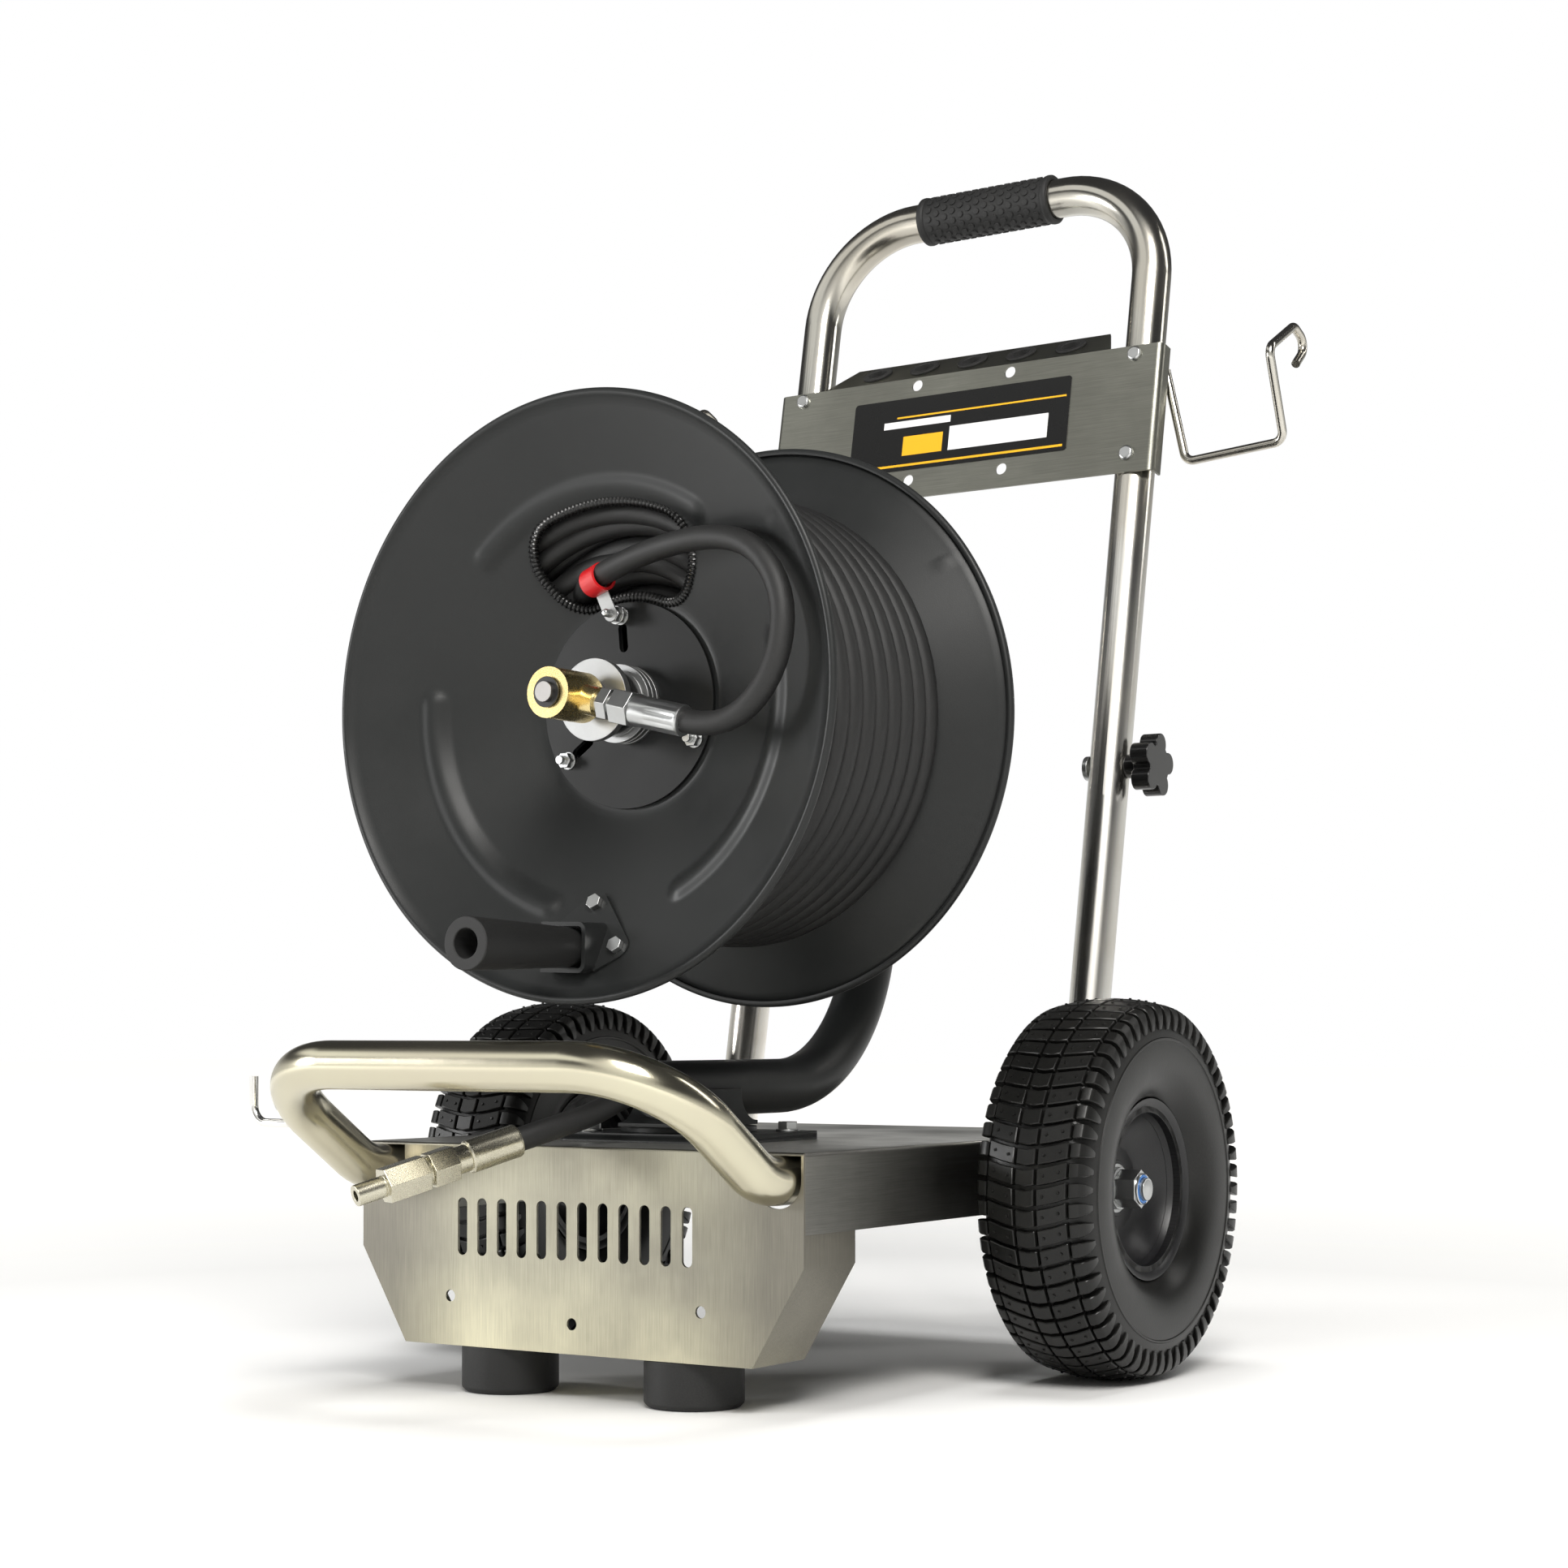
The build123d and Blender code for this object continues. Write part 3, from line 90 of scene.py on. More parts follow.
def arc(middle: Corner, radius: float, start: float, end: float, steps: int) -> list[Corner]:
    """Points of an arc round a middle, from its start angle to its end angle in degrees."""
    turns = [polar(radius, start + (end - start) * step / steps) for step in range(steps + 1)]
    return [(middle[0] + x, middle[1] + y) for x, y in turns]


def regular(sides: int, radius: float) -> list[Corner]:
    """Corners of a regular polygon round the origin."""
    return [polar(radius, 360.0 * side / sides) for side in range(sides)]


def swell(away: float) -> float:
    """Round rise, full at 0 and nothing at 1."""
    return 0.5 + 0.5 * math.cos(math.pi * away)


def facing(place: Vector, way: Vector, up: str) -> Matrix:
    """Place for a copy that stands at a point with its z axis along a direction."""
    return Matrix.Translation(place) @ way.to_track_quat("Z", up).to_matrix().to_4x4()


class Body(Enum):
    """The parts of the cart that move as one."""

    CHASSIS = "chassis"
    WHEEL_LEFT = "wheel_left"
    WHEEL_RIGHT = "wheel_right"
    REEL = "reel"
    GRIP = "grip"
    KNOB_LEFT = "knob_left"
    KNOB_RIGHT = "knob_right"


# ---------------------------------------------------------------- shader workshop


class Graph:
    """Builds the nodes of one material or one shared effect."""

    def __init__(self, tree: bpy.types.NodeTree) -> None:
        """Keep the node tree that is built."""
        self.tree = tree

    def feed(self, socket: Socket, value: object) -> None:
        """Join an output to an input, or give the input a value of its own."""
        if isinstance(value, Socket):
            self.tree.links.new(value, socket)
        else:
            socket.default_value = value

    def node(self, kind: str, *first: object, **values: object) -> Node:
        """Add a node.

        Args:
            kind: the node's type, without its ShaderNode prefix.
            first: what its first inputs are fed, in order.
            values: its settings, and what its other inputs are fed, by name with underscores.

        Returns:
            The new node.
        """
        made = self.tree.nodes.new(f"ShaderNode{kind}")
        for name, value in values.items():
            socket = made.inputs.get(name.replace("_", " "))
            if socket is None:
                setattr(made, name, value)
            else:
                self.feed(socket, value)
        for socket, value in zip(made.inputs, first):
            self.feed(socket, value)
        return made

    def maths(self, operation: str, first: object, second: object = 0.0) -> Socket:
        """Add a Math node and return its output."""
        return self.node("Math", first, second, operation=operation).outputs[0]

    def ramp(self, value: Socket, low: float, high: float, start: float = 0.0, end: float = 1.0) -> Socket:
        """Map a value between low and high to start and end, and return the output."""
        return self.node("MapRange", value, low, high, start, end).outputs[0]

    def noise(self, place: Socket, scale: object, detail: float, roughness: float) -> Socket:
        """Add a Noise Texture node and return its strength."""
        return self.node("TexNoise", Vector=place, Scale=scale, Detail=detail, Roughness=roughness).outputs[0]

    def along(self, place: Socket, way: Triple) -> Socket:
        """Measure how far a place lies in a direction, and return the output."""
        return self.node("VectorMath", place, way, operation="DOT_PRODUCT").outputs["Value"]

    def blend(self, mask: object, first: object, second: object) -> Socket:
        """Mix two colours by a mask and return the output."""
        made = self.node("Mix", data_type="RGBA")
        factor, colours = made.inputs[0], made.inputs[6:8]
        for socket, value in zip((factor, *colours), (mask, first, second)):
            self.feed(socket, (*value, 1.0) if isinstance(value, tuple) else value)
        return made.outputs[2]

    def bump(self, height: Socket, depth: float) -> Socket:
        """Turn a height from 0 to 1 into a relief of some depth in metres, and return its normal."""
        return self.node("Bump", Strength=1.0, Distance=depth, Height=height).outputs[0]


class Effects:
    """The effects that several finishes share, each built once as a node group."""

    @staticmethod
    def group(
        name: str, inputs: dict[str, object], outputs: Sequence[str], build: Callable
    ) -> bpy.types.NodeTree:
        """Build a node group, or find it where it is built already.

        Args:
            name: the effect's name.
            inputs: each input's default value by its name, a tuple for a vector.
            outputs: the names of its outputs.
            build: draws the nodes, from the graph and the group's inputs, and gives what the outputs are fed.

        Returns:
            The node group.
        """
        tree = bpy.data.node_groups.get(name)
        if tree is None:
            tree = bpy.data.node_groups.new(name, "ShaderNodeTree")
            for label, value in inputs.items():
                kind = "NodeSocketVector" if isinstance(value, tuple) else "NodeSocketFloat"
                tree.interface.new_socket(label, in_out="INPUT", socket_type=kind).default_value = value
            for label in outputs:
                tree.interface.new_socket(label, in_out="OUTPUT", socket_type="NodeSocketFloat")
            graph = Graph(tree)
            start = tree.nodes.new("NodeGroupInput")
            end = tree.nodes.new("NodeGroupOutput")
            for socket, value in zip(end.inputs, build(graph, start.outputs)):
                graph.feed(socket, value)
        return tree

    @classmethod
    def streaks(cls) -> bpy.types.NodeTree:
        """Fine parallel scratches, short in x and y and long in z, with broad smudges over them."""

        def build(graph: Graph, given: object) -> Sequence[Socket]:
            """Draw the nodes."""
            stretched = graph.node("VectorMath", given["Place"], given["Density"], operation="MULTIPLY")
            fine = graph.noise(stretched.outputs[0], scale=1.0, detail=3.0, roughness=0.6)
            smudge = graph.noise(given["Place"], scale=9.0, detail=4.0, roughness=0.55)
            return fine, graph.ramp(smudge, 0.35, 0.68)

        inputs = {"Place": (0, 0, 0), "Density": (900, 900, 25)}
        return cls.group("brushed streaks", inputs, ("Scratch", "Smudge"), build)

    @classmethod
    def grain(cls) -> bpy.types.NodeTree:
        """Small pebbled surface of moulded, painted or rubber parts, with dust lying in it."""

        def build(graph: Graph, given: object) -> Sequence[Socket]:
            """Draw the nodes."""
            fine = graph.noise(given["Place"], scale=given["Fineness"], detail=2.0, roughness=0.5)
            broad = graph.noise(given["Place"], scale=14.0, detail=5.0, roughness=0.6)
            patches = graph.ramp(broad, 0.42, 0.75)
            specks = graph.ramp(fine, 0.35, 0.75)
            return fine, graph.maths("MULTIPLY", patches, specks), patches

        inputs = {"Place": (0, 0, 0), "Fineness": 900.0}
        return cls.group("moulded grain", inputs, ("Pebble", "Dust", "Patch"), build)


@dataclass(frozen=True)
class Finish:
    """A finish that a piece is given.

    Attributes:
        name: what the finish is called.
        slot: the material slot that it belongs to; not used.
    """

    name: str
    slot: str

    def material(self) -> bpy.types.Material:
        """Build the material, or find it where it is built already."""
        found = bpy.data.materials.get(self.name)
        if found is None:
            found = bpy.data.materials.new(self.name)
            found.use_nodes = True
            graph = Graph(found.node_tree)
            shader = found.node_tree.nodes["Principled BSDF"]
            for name, value in self.shade(graph, graph.node("TexCoord").outputs["Object"]).items():
                graph.feed(shader.inputs[name], value)
        return found

    def shade(self, graph: Graph, place: Socket) -> dict[str, object]:
        """Draw the finish's nodes and give what the shader's inputs are fed, by their names."""
        raise NotImplementedError


@dataclass(frozen=True)
class BrushedSteel(Finish):
    """Brushed or polished stainless steel.

    Attributes:
        light: colour of the clean metal.
        smudge: colour of the metal where it is smudged, also used for the painted shade towards its ends.
        grain: how dense the scratches are along x, y and z, per metre.
        painted_light_heights: heights between which the sheet goes from its warm lower tone to its grey
            higher tone, as painted light and reflection, or None.
        painted_upper_tone: colour painted on the metal above those heights, for the light and reflection that
            it gets there.
        shaded_ends: how much painted shade darkens a sheet with painted light heights towards its left and
            right ends.
        ends: distances from the middle between which that darkening rises.
        smudged: how much of the smudges shows, from 0 to 1.
        scratched: how bright the metal is in the deepest scratches and on their crests.
        roughness: how rough the metal is where it is clean and where it is smudged.
        depth: how deep the scratches are, in metres.
    """

    light: Triple
    smudge: Triple
    grain: Triple = (1500.0, 1500.0, 30.0)
    painted_light_heights: Optional[Corner] = None
    painted_upper_tone: Triple = (0.46, 0.44, 0.345)
    shaded_ends: float = 0.75
    ends: Corner = (0.085, 0.155)
    smudged: float = 0.62
    scratched: Corner = (0.86, 1.1)
    roughness: Corner = (0.3, 0.42)
    depth: float = 0.00006

    def shade(self, graph: Graph, place: Socket) -> dict[str, object]:
        """Draw the brushed scratches, the smudges, and the tone with its painted light, reflection and shade.
        """
        marks = graph.node("Group", node_tree=Effects.streaks(), Place=place, Density=self.grain).outputs
        tone: object = self.light
        if self.painted_light_heights is not None:
            parts = graph.node("SeparateXYZ", place).outputs
            # painted light and reflection: the metal's tone changes with height
            tone = graph.blend(graph.ramp(parts["Z"], *self.painted_light_heights), self.light, self.painted_upper_tone)
            # painted shade: the sheet darkens towards its left and right ends, in the smudge colour
            ends = graph.ramp(graph.maths("ABSOLUTE", parts["X"]), *self.ends)
            tone = graph.blend(graph.maths("MULTIPLY", ends, self.shaded_ends), tone, self.smudge)
        tone = graph.blend(graph.maths("MULTIPLY", marks["Smudge"], self.smudged), tone, self.smudge)
        scratch = graph.ramp(marks["Scratch"], *NOISE, *self.scratched)
        return {
            "Base Color": graph.node("VectorMath", tone, operation="SCALE", Scale=scratch).outputs[0],
            "Metallic": 1.0,
            "Roughness": graph.ramp(marks["Smudge"], 0, 1, *self.roughness),
            "Normal": graph.bump(marks["Scratch"], self.depth),
        }


def polished(name: str, colour: Triple, roughness: float) -> BrushedSteel:
    """Polished stainless tube or wire, with faint drawing lines and a darker tone painted higher up, as
    painted reflection.
    """
    return BrushedSteel(
        name, "polished_tube", colour, smudge=(0.58, 0.52, 0.42), grain=(700.0, 700.0, 60.0),
        painted_light_heights=(0.56, 0.74), painted_upper_tone=(0.50, 0.49, 0.45), shaded_ends=0.0, smudged=0.5, scratched=(1.0, 1.0),
        roughness=(roughness, roughness + 0.1), depth=0.00002,
    )


@dataclass(frozen=True)
class Plated(Finish):
    """Bright plating or turned metal of small fittings.

    Attributes:
        colour: colour of the metal.
        tarnish: colour where it is dulled.
        roughness: how rough the clean metal is.
        rougher: how much rougher the crests of the grain are.
        fineness: how many pebbles of grain there are in a metre.
        depth: how deep the grain is, in metres.
    """

    colour: Triple = (0.56, 0.57, 0.57)
    tarnish: Triple = (0.44, 0.44, 0.43)
    roughness: float = 0.28
    rougher: float = 0.06
    fineness: float = 1400.0
    depth: float = 0.000006

    def shade(self, graph: Graph, place: Socket) -> dict[str, object]:
        """Draw the dulled patches and the fine grain."""
        marks = graph.node("Group", node_tree=Effects.grain(), Place=place, Fineness=self.fineness).outputs
        return {
            "Base Color": graph.blend(marks["Patch"], self.colour, self.tarnish),
            "Metallic": 1.0,
            "Roughness": graph.ramp(marks["Pebble"], *NOISE, self.roughness, self.roughness + self.rougher),
            "Normal": graph.bump(marks["Pebble"], self.depth),
        }


@dataclass(frozen=True)
class Dull(Finish):
    """Powder coat, rubber and moulded plastic.

    Attributes:
        colour: colour of the clean surface.
        roughness: how rough it is.
        dust: colour of the dust that lies on it.
        dusty: how much of the dust shows, from 0 to 1.
        fineness: how many pebbles of grain there are in a metre.
        depth: how deep the grain is, in metres.
        coat: how strong the clear gloss over it is.
        coat_roughness: how rough that gloss is.
        shine: how strongly it mirrors, 0.5 for most plastics.
        rougher: how much rougher it is where dust lies.
    """

    colour: Triple
    roughness: float
    dust: Triple = (0.06, 0.058, 0.055)
    dusty: float = 0.35
    fineness: float = 900.0
    depth: float = 0.00008
    coat: float = 0.0
    coat_roughness: float = 0.12
    shine: float = 0.5
    rougher: float = 0.1

    def shade(self, graph: Graph, place: Socket) -> dict[str, object]:
        """Draw the grain and the dust."""
        marks = graph.node("Group", node_tree=Effects.grain(), Place=place, Fineness=self.fineness).outputs
        dusting = graph.maths("MULTIPLY", marks["Dust"], self.dusty)
        return {
            "Base Color": graph.blend(dusting, self.colour, self.dust),
            "Roughness": graph.ramp(marks["Patch"], 0, 1, self.roughness, self.roughness + self.rougher),
            "Coat Weight": self.coat,
            "Coat Roughness": self.coat_roughness,
            "Specular IOR Level": self.shine,
            "Normal": graph.bump(marks["Pebble"], self.depth),
        }


@dataclass(frozen=True)
class LabelFilm(Finish):
    """Glossy black label with plain yellow and pale bars.

    Attributes:
        lean: how far the panel that carries it leans back, in degrees.
        foot: where the leaning line meets the floor, in the scene's metres.
        yellow_bars: left, right, low and high edge of each yellow bar, in millimetres up the panel.
        pale_bars: the same of the pale bars.
        film: colour of the film.
        yellow: colour of the yellow bars.
        pale: colour of the pale bars.
        roughness: how rough the film is where it is clean and where it is dulled.
        fineness: how many pebbles of grain there are in a metre.
        coat: how strong the clear gloss over it is.
        shine: how strongly it mirrors.
    """

    lean: float = 10.92
    foot: float = (398.6 - MIDDLE_Y) * MM
    yellow_bars: tuple = (
        (-99.0, 99.0, 727.5, 729.5), (-60.0, 99.0, 770.5, 772.0), (-52.0, -14.0, 737.0, 754.0)
    )
    pale_bars: tuple = ((-72.0, -8.0, 762.0, 768.0), (-8.0, 84.0, 737.0, 758.0))
    film: Triple = (0.006, 0.006, 0.006)
    yellow: Triple = (0.80, 0.42, 0.02)
    pale: Triple = (0.80, 0.80, 0.80)
    roughness: Corner = (0.25, 0.34)
    fineness: float = 500.0
    coat: float = 0.08
    shine: float = 0.2

    def shade(self, graph: Graph, place: Socket) -> dict[str, object]:
        """Draw the bars over the black film."""
        turned = math.radians(self.lean)
        up = graph.along(place, (0.0, math.sin(turned), math.cos(turned)))
        height = graph.maths("SUBTRACT", up, self.foot * math.sin(turned))
        across = graph.node("SeparateXYZ", place).outputs["X"]

        def between(value: Socket, low: float, high: float) -> Socket:
            """Mask of the values between two distances in millimetres."""
            away = graph.maths("ABSOLUTE", graph.maths("SUBTRACT", value, (low + high) / 2 * MM))
            return graph.maths("LESS_THAN", away, (high - low) / 2 * MM)

        def bars(edges: Sequence[tuple[float, float, float, float]]) -> object:
            """Mask of several bars."""
            mask: object = 0.0
            for left, right, low, high in edges:
                bar = graph.maths("MULTIPLY", between(across, left, right), between(height, low, high))
                mask = graph.maths("MAXIMUM", mask, bar)
            return mask

        colour = graph.blend(bars(self.yellow_bars), self.film, self.yellow)
        marks = graph.node("Group", node_tree=Effects.grain(), Place=place, Fineness=self.fineness).outputs
        return {
            "Base Color": graph.blend(bars(self.pale_bars), colour, self.pale),
            "Roughness": graph.ramp(marks["Patch"], 0, 1, *self.roughness),
            "Coat Weight": self.coat,
            "Specular IOR Level": self.shine,
        }


BLACK = (0.008, 0.008, 0.008)
# Front box steel: warm and pale below and grey higher up, as painted reflection, with painted shade towards
# its ends.
SHEET_VERTICAL = BrushedSteel(
    "steel brushed up and down", "sheet_steel", (0.74, 0.70, 0.51), (0.17, 0.16, 0.14), painted_light_heights=(0.03, 0.09)
)
# Rear panel steel painted much darker than the front box's, as painted shade on the same stainless.
SHEET_ACROSS = BrushedSteel(
    "steel brushed across", "sheet_steel", (0.27, 0.27, 0.235), (0.15, 0.15, 0.13), (30.0, 1500.0, 1500.0)
)
# Deck steel: its top face painted far brighter than its side flange, as painted light and painted shade on
# one sheet.
SHEET_TOP = BrushedSteel(
    "steel of the deck", "sheet_steel", (0.27, 0.265, 0.24), (0.16, 0.16, 0.15), (1500.0, 30.0, 1500.0),
    painted_light_heights=(0.1680, 0.1696), painted_upper_tone=(0.86, 0.85, 0.80), shaded_ends=0.0,
)
TUBE = polished("polished tube", (0.92, 0.91, 0.88), 0.15)
# Bumper tube: the same polished stainless, given a warm darker tone as a painted reflection.
TUBE_PAINTED_WARM_REFLECTION = polished("polished bumper tube", (0.66, 0.625, 0.475), 0.17)
ZINC = Plated("bright zinc", "zinc")
WARM_ZINC = Plated("yellowed zinc", "zinc", (0.62, 0.59, 0.48), (0.48, 0.45, 0.34), 0.24)
TURNED = Plated("turned steel", "zinc", (0.34, 0.33, 0.32), (0.26, 0.25, 0.24), 0.34)
MATT_ZINC = Plated("matt zinc", "zinc", (0.40, 0.405, 0.405), (0.30, 0.30, 0.295), 0.42)
BRASS = Plated("turned brass", "brass", (0.86, 0.70, 0.34), (0.66, 0.48, 0.18), 0.24)
POWDER = Dull(
    "black powder coat", "black_paint", (0.0155, 0.0165, 0.0165), 0.38, (0.034, 0.034, 0.034),
    fineness=1600.0, depth=0.00004, shine=0.3,
)
SATIN = Dull(
    "satin black plate", "black_paint", (0.0065, 0.007, 0.007), 0.4, (0.016, 0.016, 0.016),
    fineness=1600.0, depth=0.00003, shine=0.26,
)
RIM = Dull(
    "grey rim paint", "rim_paint", (0.006, 0.006, 0.007), 0.36, (0.03, 0.03, 0.03),
    fineness=1200.0, depth=0.00005,
)
TYRE = Dull(
    "tyre rubber", "tyre", (0.007, 0.007, 0.0065), 0.33, (0.036, 0.034, 0.030), 0.3,
    fineness=700.0, depth=0.00005, shine=0.36,
)
HOSE = Dull("hose cover", "hose", BLACK, 0.56, (0.03, 0.029, 0.027), 0.4, fineness=1200.0, depth=0.00012)
EDGING = Dull("black edging", "black_rubber", BLACK, 0.27, dusty=0.2, depth=0.00002)
RUBBER = Dull("black rubber", "black_rubber", BLACK, 0.6, (0.04, 0.04, 0.038), 0.4)
PLASTIC = Dull(
    "black gloss plastic", "black_plastic", (0.006, 0.006, 0.006), 0.22, dusty=0.1, depth=0.00001, coat=0.4
)
RED = Dull(
    "red vinyl", "red_vinyl", (0.62, 0.012, 0.016), 0.33, (0.7, 0.08, 0.07), 0.2, depth=0.00003, coat=0.3
)
NYLON = Dull("blue nylon", "black_plastic", (0.05, 0.22, 0.62), 0.35, (0.3, 0.45, 0.7), depth=0.00002)
LABEL = LabelFilm("label film", "label")


# ---------------------------------------------------------------- modelling bench


class Bench:
    """The hand tools that every piece is made with."""

    @staticmethod
    def clear() -> None:
        """Put everything down."""
        if bpy.context.mode != "OBJECT":
            bpy.ops.object.mode_set(mode="OBJECT")
        bpy.ops.object.select_all(action="DESELECT")

    @classmethod
    def pick(cls, piece: Piece) -> None:
        """Take up one piece and nothing else."""
        cls.clear()
        piece.select_set(True)
        bpy.context.view_layer.objects.active = piece

    @classmethod
    @contextmanager
    def inside(cls, piece: Piece) -> Iterator[None]:
        """Open a piece for work on the whole of its mesh, and close it afterwards."""
        cls.pick(piece)
        bpy.ops.object.mode_set(mode="EDIT")
        bpy.ops.mesh.select_all(action="SELECT")
        yield
        bpy.ops.object.mode_set(mode="OBJECT")

    @staticmethod
    def hang(name: str, data: bpy.types.ID) -> Piece:
        """Put a mesh, curve, light or camera in the scene."""
        piece = bpy.data.objects.new(name, data)
        bpy.context.scene.collection.objects.link(piece)
        return piece

    @classmethod
    def copy_node(cls, node: str, name: str) -> Piece:
        """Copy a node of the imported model, with its corners merged and its flat faces whole."""
        piece = cls.hang(name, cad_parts[node].data.copy())
        piece.data.materials.clear()
        with cls.inside(piece):
            bpy.ops.mesh.remove_doubles(threshold=MERGE)
            bpy.ops.mesh.dissolve_limited(angle_limit=FLAT)
        return piece

    @classmethod
    def modify(cls, piece: Piece, kind: str, **settings: object) -> None:
        """Put a modifier with its settings on a piece and apply it."""
        cls.pick(piece)
        tool = piece.modifiers.new(kind, kind)
        for name, value in settings.items():
            setattr(tool, name, value)
        bpy.ops.object.modifier_apply(modifier=tool.name)

    @classmethod
    def smooth(cls, piece: Piece, angle: float) -> Piece:
        """Shade a piece smooth, apart from edges sharper than an angle in degrees."""
        cls.pick(piece)
        bpy.ops.object.shade_smooth_by_angle(angle=math.radians(angle))
        return piece

    @classmethod
    def soften(cls, piece: Piece, width: float = 0.0, angle: float = 32.0, segments: int = 2) -> Piece:
        """Round a piece's hard edges and shade it smooth.

        Args:
            piece: the piece.
            width: how wide the rounding is, in millimetres, or 0 for none.
            angle: an edge sharper than this many degrees is rounded and stays crisp.
            segments: how many faces the rounding has.

        Returns:
            The piece.
        """
        if width:
            cls.modify(
                piece, "BEVEL", width=width * MM, segments=segments, limit_method="ANGLE",
                angle_limit=math.radians(angle), use_clamp_overlap=True,
            )
        cls.smooth(piece, angle + 3)
        cls.modify(piece, "WEIGHTED_NORMAL", keep_sharp=True)
        return piece

    @classmethod
    def close(cls, piece: Piece) -> Piece:
        """Merge a piece's doubled corners and turn its faces outwards."""
        with cls.inside(piece):
            bpy.ops.mesh.remove_doubles(threshold=MERGE)
            bpy.ops.mesh.normals_make_consistent(inside=False)
        return piece

    @classmethod
    def flip(cls, piece: Piece) -> None:
        """Turn a piece's faces over."""
        with cls.inside(piece):
            bpy.ops.mesh.flip_normals()

    @classmethod
    def lathe(
        cls, name: str, section: Sequence[Corner], centre: Vector, axis: Vector, steps: int,
        closed: bool = True,
    ) -> Piece:
        """Turn a section round an axis.

        Args:
            name: the new piece's name.
            section: its points, as distance from the axis and distance along it, in millimetres.
            centre: where the distance along the axis is nothing.
            axis: the direction of the axis.
            steps: how many steps a turn has.
            closed: whether the section's last point is joined to its first.

        Returns:
            The turned piece.
        """
        cls.clear()
        bpy.ops.mesh.primitive_circle_add(vertices=len(section), radius=MM)
        piece = bpy.context.object
        piece.name = name
        side = axis.orthogonal().normalized()
        for corner, (reach, along) in zip(piece.data.vertices, section):
            corner.co = centre + axis * along * MM + side * reach * MM
        if not closed:
            ends = {0, len(section) - 1}
            for edge in piece.data.edges:
                edge.select = set(edge.vertices) == ends
            for corner in piece.data.vertices:
                corner.select = corner.index in ends
            bpy.ops.object.mode_set(mode="EDIT")
            bpy.ops.mesh.select_mode(type="EDGE")
            bpy.ops.mesh.delete(type="EDGE")
            bpy.ops.mesh.select_mode(type="VERT")
        with cls.inside(piece):
            bpy.ops.mesh.spin(steps=steps, angle=2 * math.pi, center=centre, axis=axis)
        return cls.close(piece)

    @classmethod
    def prism(cls, name: str, outline: Sequence[Corner], place: Callable[[Corner, int], Vector]) -> Piece:
        """Raise a prism over an outline.

        Args:
            name: the new piece's name.
            outline: its corners in order.
            place: gives a corner's point of the scene, from the corner and -1 or 1 for the end.

        Returns:
            The prism.
        """
        cls.clear()
        bpy.ops.mesh.primitive_cylinder_add(vertices=len(outline), radius=MM, depth=MM, end_fill_type="NGON")
        piece = bpy.context.object
        piece.name = name
        step = 2 * math.pi / len(outline)
        for corner in piece.data.vertices:
            index = round(math.atan2(corner.co.x, corner.co.y) / step) % len(outline)
            corner.co = place(outline[index], 1 if corner.co.z > 0 else -1)
        return cls.close(piece)

    @classmethod
    def cut(cls, piece: Piece, outline: Sequence[Corner], middle: float, half: float) -> None:
        """Cut an opening through a piece of the reel.

        Args:
            piece: the piece.
            outline: the opening's corners, from the reel's axis.
            middle: depth of the cutter's middle.
            half: half of the cutter's thickness.
        """
        cutter = cls.prism("cutter", outline, lambda corner, end: on_reel(*corner, middle + half * end))
        cls.modify(piece, "BOOLEAN", operation="DIFFERENCE", solver="EXACT", object=cutter)
        bpy.data.objects.remove(cutter)

    @classmethod
    def tube(cls, name: str, points: Sequence[Vector], radius: float, around: int, along: int = 0) -> Piece:
        """Lay a tube along points, as a closed ring or as a hose with two ends.

        Args:
            name: the new piece's name.
            points: the points that steer it.
            radius: its outside radius, in millimetres.
            around: how fine its section is.
            along: how many steps a hose has between two points, or 0 for a ring.

        Returns:
            The curve object.
        """
        curve = bpy.data.curves.new(name, "CURVE")
        curve.dimensions = "3D"
        curve.bevel_depth = radius * MM
        curve.bevel_resolution = around
        curve.use_fill_caps = along > 0
        spline = curve.splines.new("NURBS" if along else "POLY")
        spline.points.add(len(points) - 1)
        for knot, point in zip(spline.points, points):
            knot.co = (*point, 1.0)
        spline.use_cyclic_u = not along
        if along:
            spline.order_u = 3
            spline.use_endpoint_u = True
            spline.resolution_u = along
        return cls.hang(name, curve)

    @classmethod
    def join(cls, name: str, pieces: Sequence[Piece]) -> Piece:
        """Make one piece of several."""
        cls.clear()
        for piece in pieces:
            piece.select_set(True)
        bpy.context.view_layer.objects.active = pieces[0]
        bpy.ops.object.join()
        pieces[0].name = name
        return pieces[0]

    @classmethod
    def scatter(cls, name: str, pattern: Piece, places: Iterable[Matrix]) -> Piece:
        """Copy a pattern piece, modelled at the origin, to every place, and join the copies."""
        copies = []
        for place in places:
            copies.append(cls.hang(name, pattern.data.copy()))
            copies[-1].data.transform(place)
        bpy.data.objects.remove(pattern)
        return cls.join(name, copies)

    @classmethod
    def repeat_round(cls, piece: Piece, count: int, centre: Vector, axis: Vector) -> Piece:
        """Repeat a piece evenly round an axis."""
        with cls.inside(piece):
            bpy.ops.mesh.spin(
                steps=count - 1, dupli=True, angle=2 * math.pi * (count - 1) / count, center=centre, axis=axis
            )
        return piece

    @classmethod
    def twin(cls, piece: Piece) -> Piece:
        """Make the mirrored piece for the cart's left side."""
        copy = cls.hang(piece.name.replace("right", "left"), piece.data.copy())
        copy.data.transform(Matrix.Scale(-1, 4, RIGHT))
        cls.flip(copy)
        return copy

